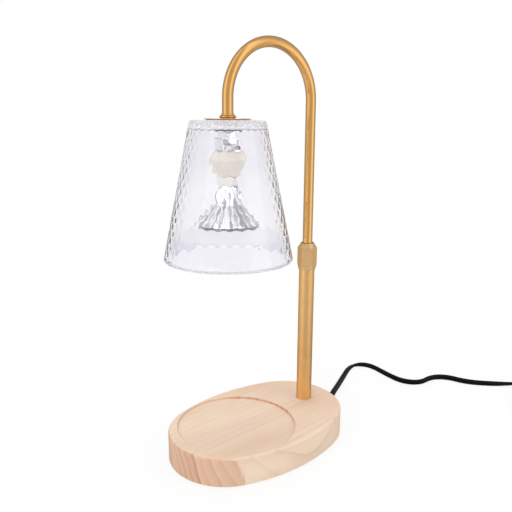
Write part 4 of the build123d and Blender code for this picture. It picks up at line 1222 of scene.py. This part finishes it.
def unit_ring(work):
    """A ring of about radius 1 round the X axis, a little wider along X than it is thick."""
    around, section = 40, 8
    half_width, middle, half_height = 0.11, 0.985, 0.075
    rows = []
    for a in circle(around):
        reaches = [(half_width * cos(b), middle + half_height * sin(b)) for b in circle(section)]
        rows.append([work.verts.new((x, reach * cos(a), reach * sin(a))) for x, reach in reaches])
    for i in range(around):
        for k in range(section):
            j, m = (i + 1) % around, (k + 1) % section
            work.faces.new((rows[i][k], rows[j][k], rows[j][m], rows[i][m]))


def boot_stations():
    """Points from one tenth to nine tenths of the strain relief's arc, with its radius there."""
    x, y, z = boot_start
    stations = []
    for k in range(boot_steps + 1):
        share = 0.10 + 0.80 * k / boot_steps
        angle = boot_bend * share
        place = (x + boot_bend_radius * sin(angle), y + boot_bend_radius * (1 - cos(angle)), z)
        stations.append((*place, boot_radius - boot_taper * share))
    return stations


ring_shape = pattern_shape("unit_ring", unit_ring)
boot_rings = wear(
    "boot_rings", bare_wire("boot_rings", boot_stations(), "thickness"), repeat_along,
    Count=7, Shape=ring_shape, Finish=plug_pvc,
)

# %% [markdown]
# The plug's ribs give a thumb something to pull on. A rib is a low bar with round ends,
# sunk half into the plug's top.

# %% Grip ribs of the plug, in mm
plug_middle_y, plug_top = -217.2, 16.95
first_rib, last_rib = 209.0, 229.0


def unit_rib(work):
    """A bar along Y with rounded ends."""
    ends, section = 5, 10
    half_length, radius, end_reach = 6.2, 0.75, 0.7
    leans = [(pi / 2) * (k + 0.5) / ends for k in range(ends)]
    rows = []
    for side, lean in [(-1, lean) for lean in reversed(leans)] + [(1, lean) for lean in leans]:
        size, y = radius * cos(lean), side * (half_length + end_reach * sin(lean))
        rows.append([work.verts.new((size * cos(b), y, size * sin(b))) for b in circle(section)])
    for low, high in zip(rows, rows[1:]):
        for j in range(section):
            work.faces.new((low[j], low[(j + 1) % section], high[(j + 1) % section], high[j]))
    work.faces.new(rows[0])
    work.faces.new(rows[-1])


rib_shape = pattern_shape("unit_rib", unit_rib)
rib_ends = [(x, plug_middle_y, plug_top, 1.0) for x in (first_rib, last_rib)]
plug_ribs = wear(
    "plug_ribs", bare_wire("plug_ribs", rib_ends, "thickness"), repeat_along,
    Count=6, Shape=rib_shape, Finish=plug_pvc,
)
for piece in (boot_rings, plug_ribs):
    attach(piece, "stand")
for shape in (ring_shape, rib_shape):
    bpy.data.meshes.remove(shape.data)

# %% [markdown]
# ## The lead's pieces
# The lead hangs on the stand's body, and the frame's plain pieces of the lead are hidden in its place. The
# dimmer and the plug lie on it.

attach(lead, "stand")
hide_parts("cord_lead", "cord_link", "cord_coil", "cord_tail")

# %% [markdown]
# ## Finishes for the framed pieces
# Every other piece keeps its shape from the frame and only gets its finish.

# %% Give each piece its finish
piece_finishes = {
    rubberwood: ["wooden_base"],
    foot_foam: ["foot_pad", "top_gasket", "soft_washer"],
    gold_tube: ["upper_tube"],
    gold_pole: ["lower_tube"],
    gold_brass: ["lock_collar", "clamp_socket", "cap_disc"],
    zinc_steel: [
        "tube_plug", "pole_stud", "pole_washer", "pole_nut", "threaded_nipple", "steel_washer", "clamp_nut",
        "lock_nut", "holder_bracket", "bracket_screws", "bulb_pins", "dimmer_screws",
    ],
    white_nylon: ["stop_ring", "grip_ring", "splice_caps"],
    pink_bush: ["centre_bush"],
    steatite: ["lamp_holder"],
    bulb_ceramic: ["bulb_base"],
    contact_brass: ["contact_plates", "plug_blades"],
    lead_sleeve: ["supply_leads", "stand_leads", "arm_leads"],
    black_abs: ["dimmer_bottom", "dimmer_top", "dimmer_wheel"],
    plug_pvc: ["plug_body", "cord_boot"],
}
for surface, names in piece_finishes.items():
    for name in names:
        node = cad_nodes[name]
        node.data.materials.clear()
        node.data.materials.append(surface)
print(sum(len(names) for names in piece_finishes.values()), "framed pieces finished")
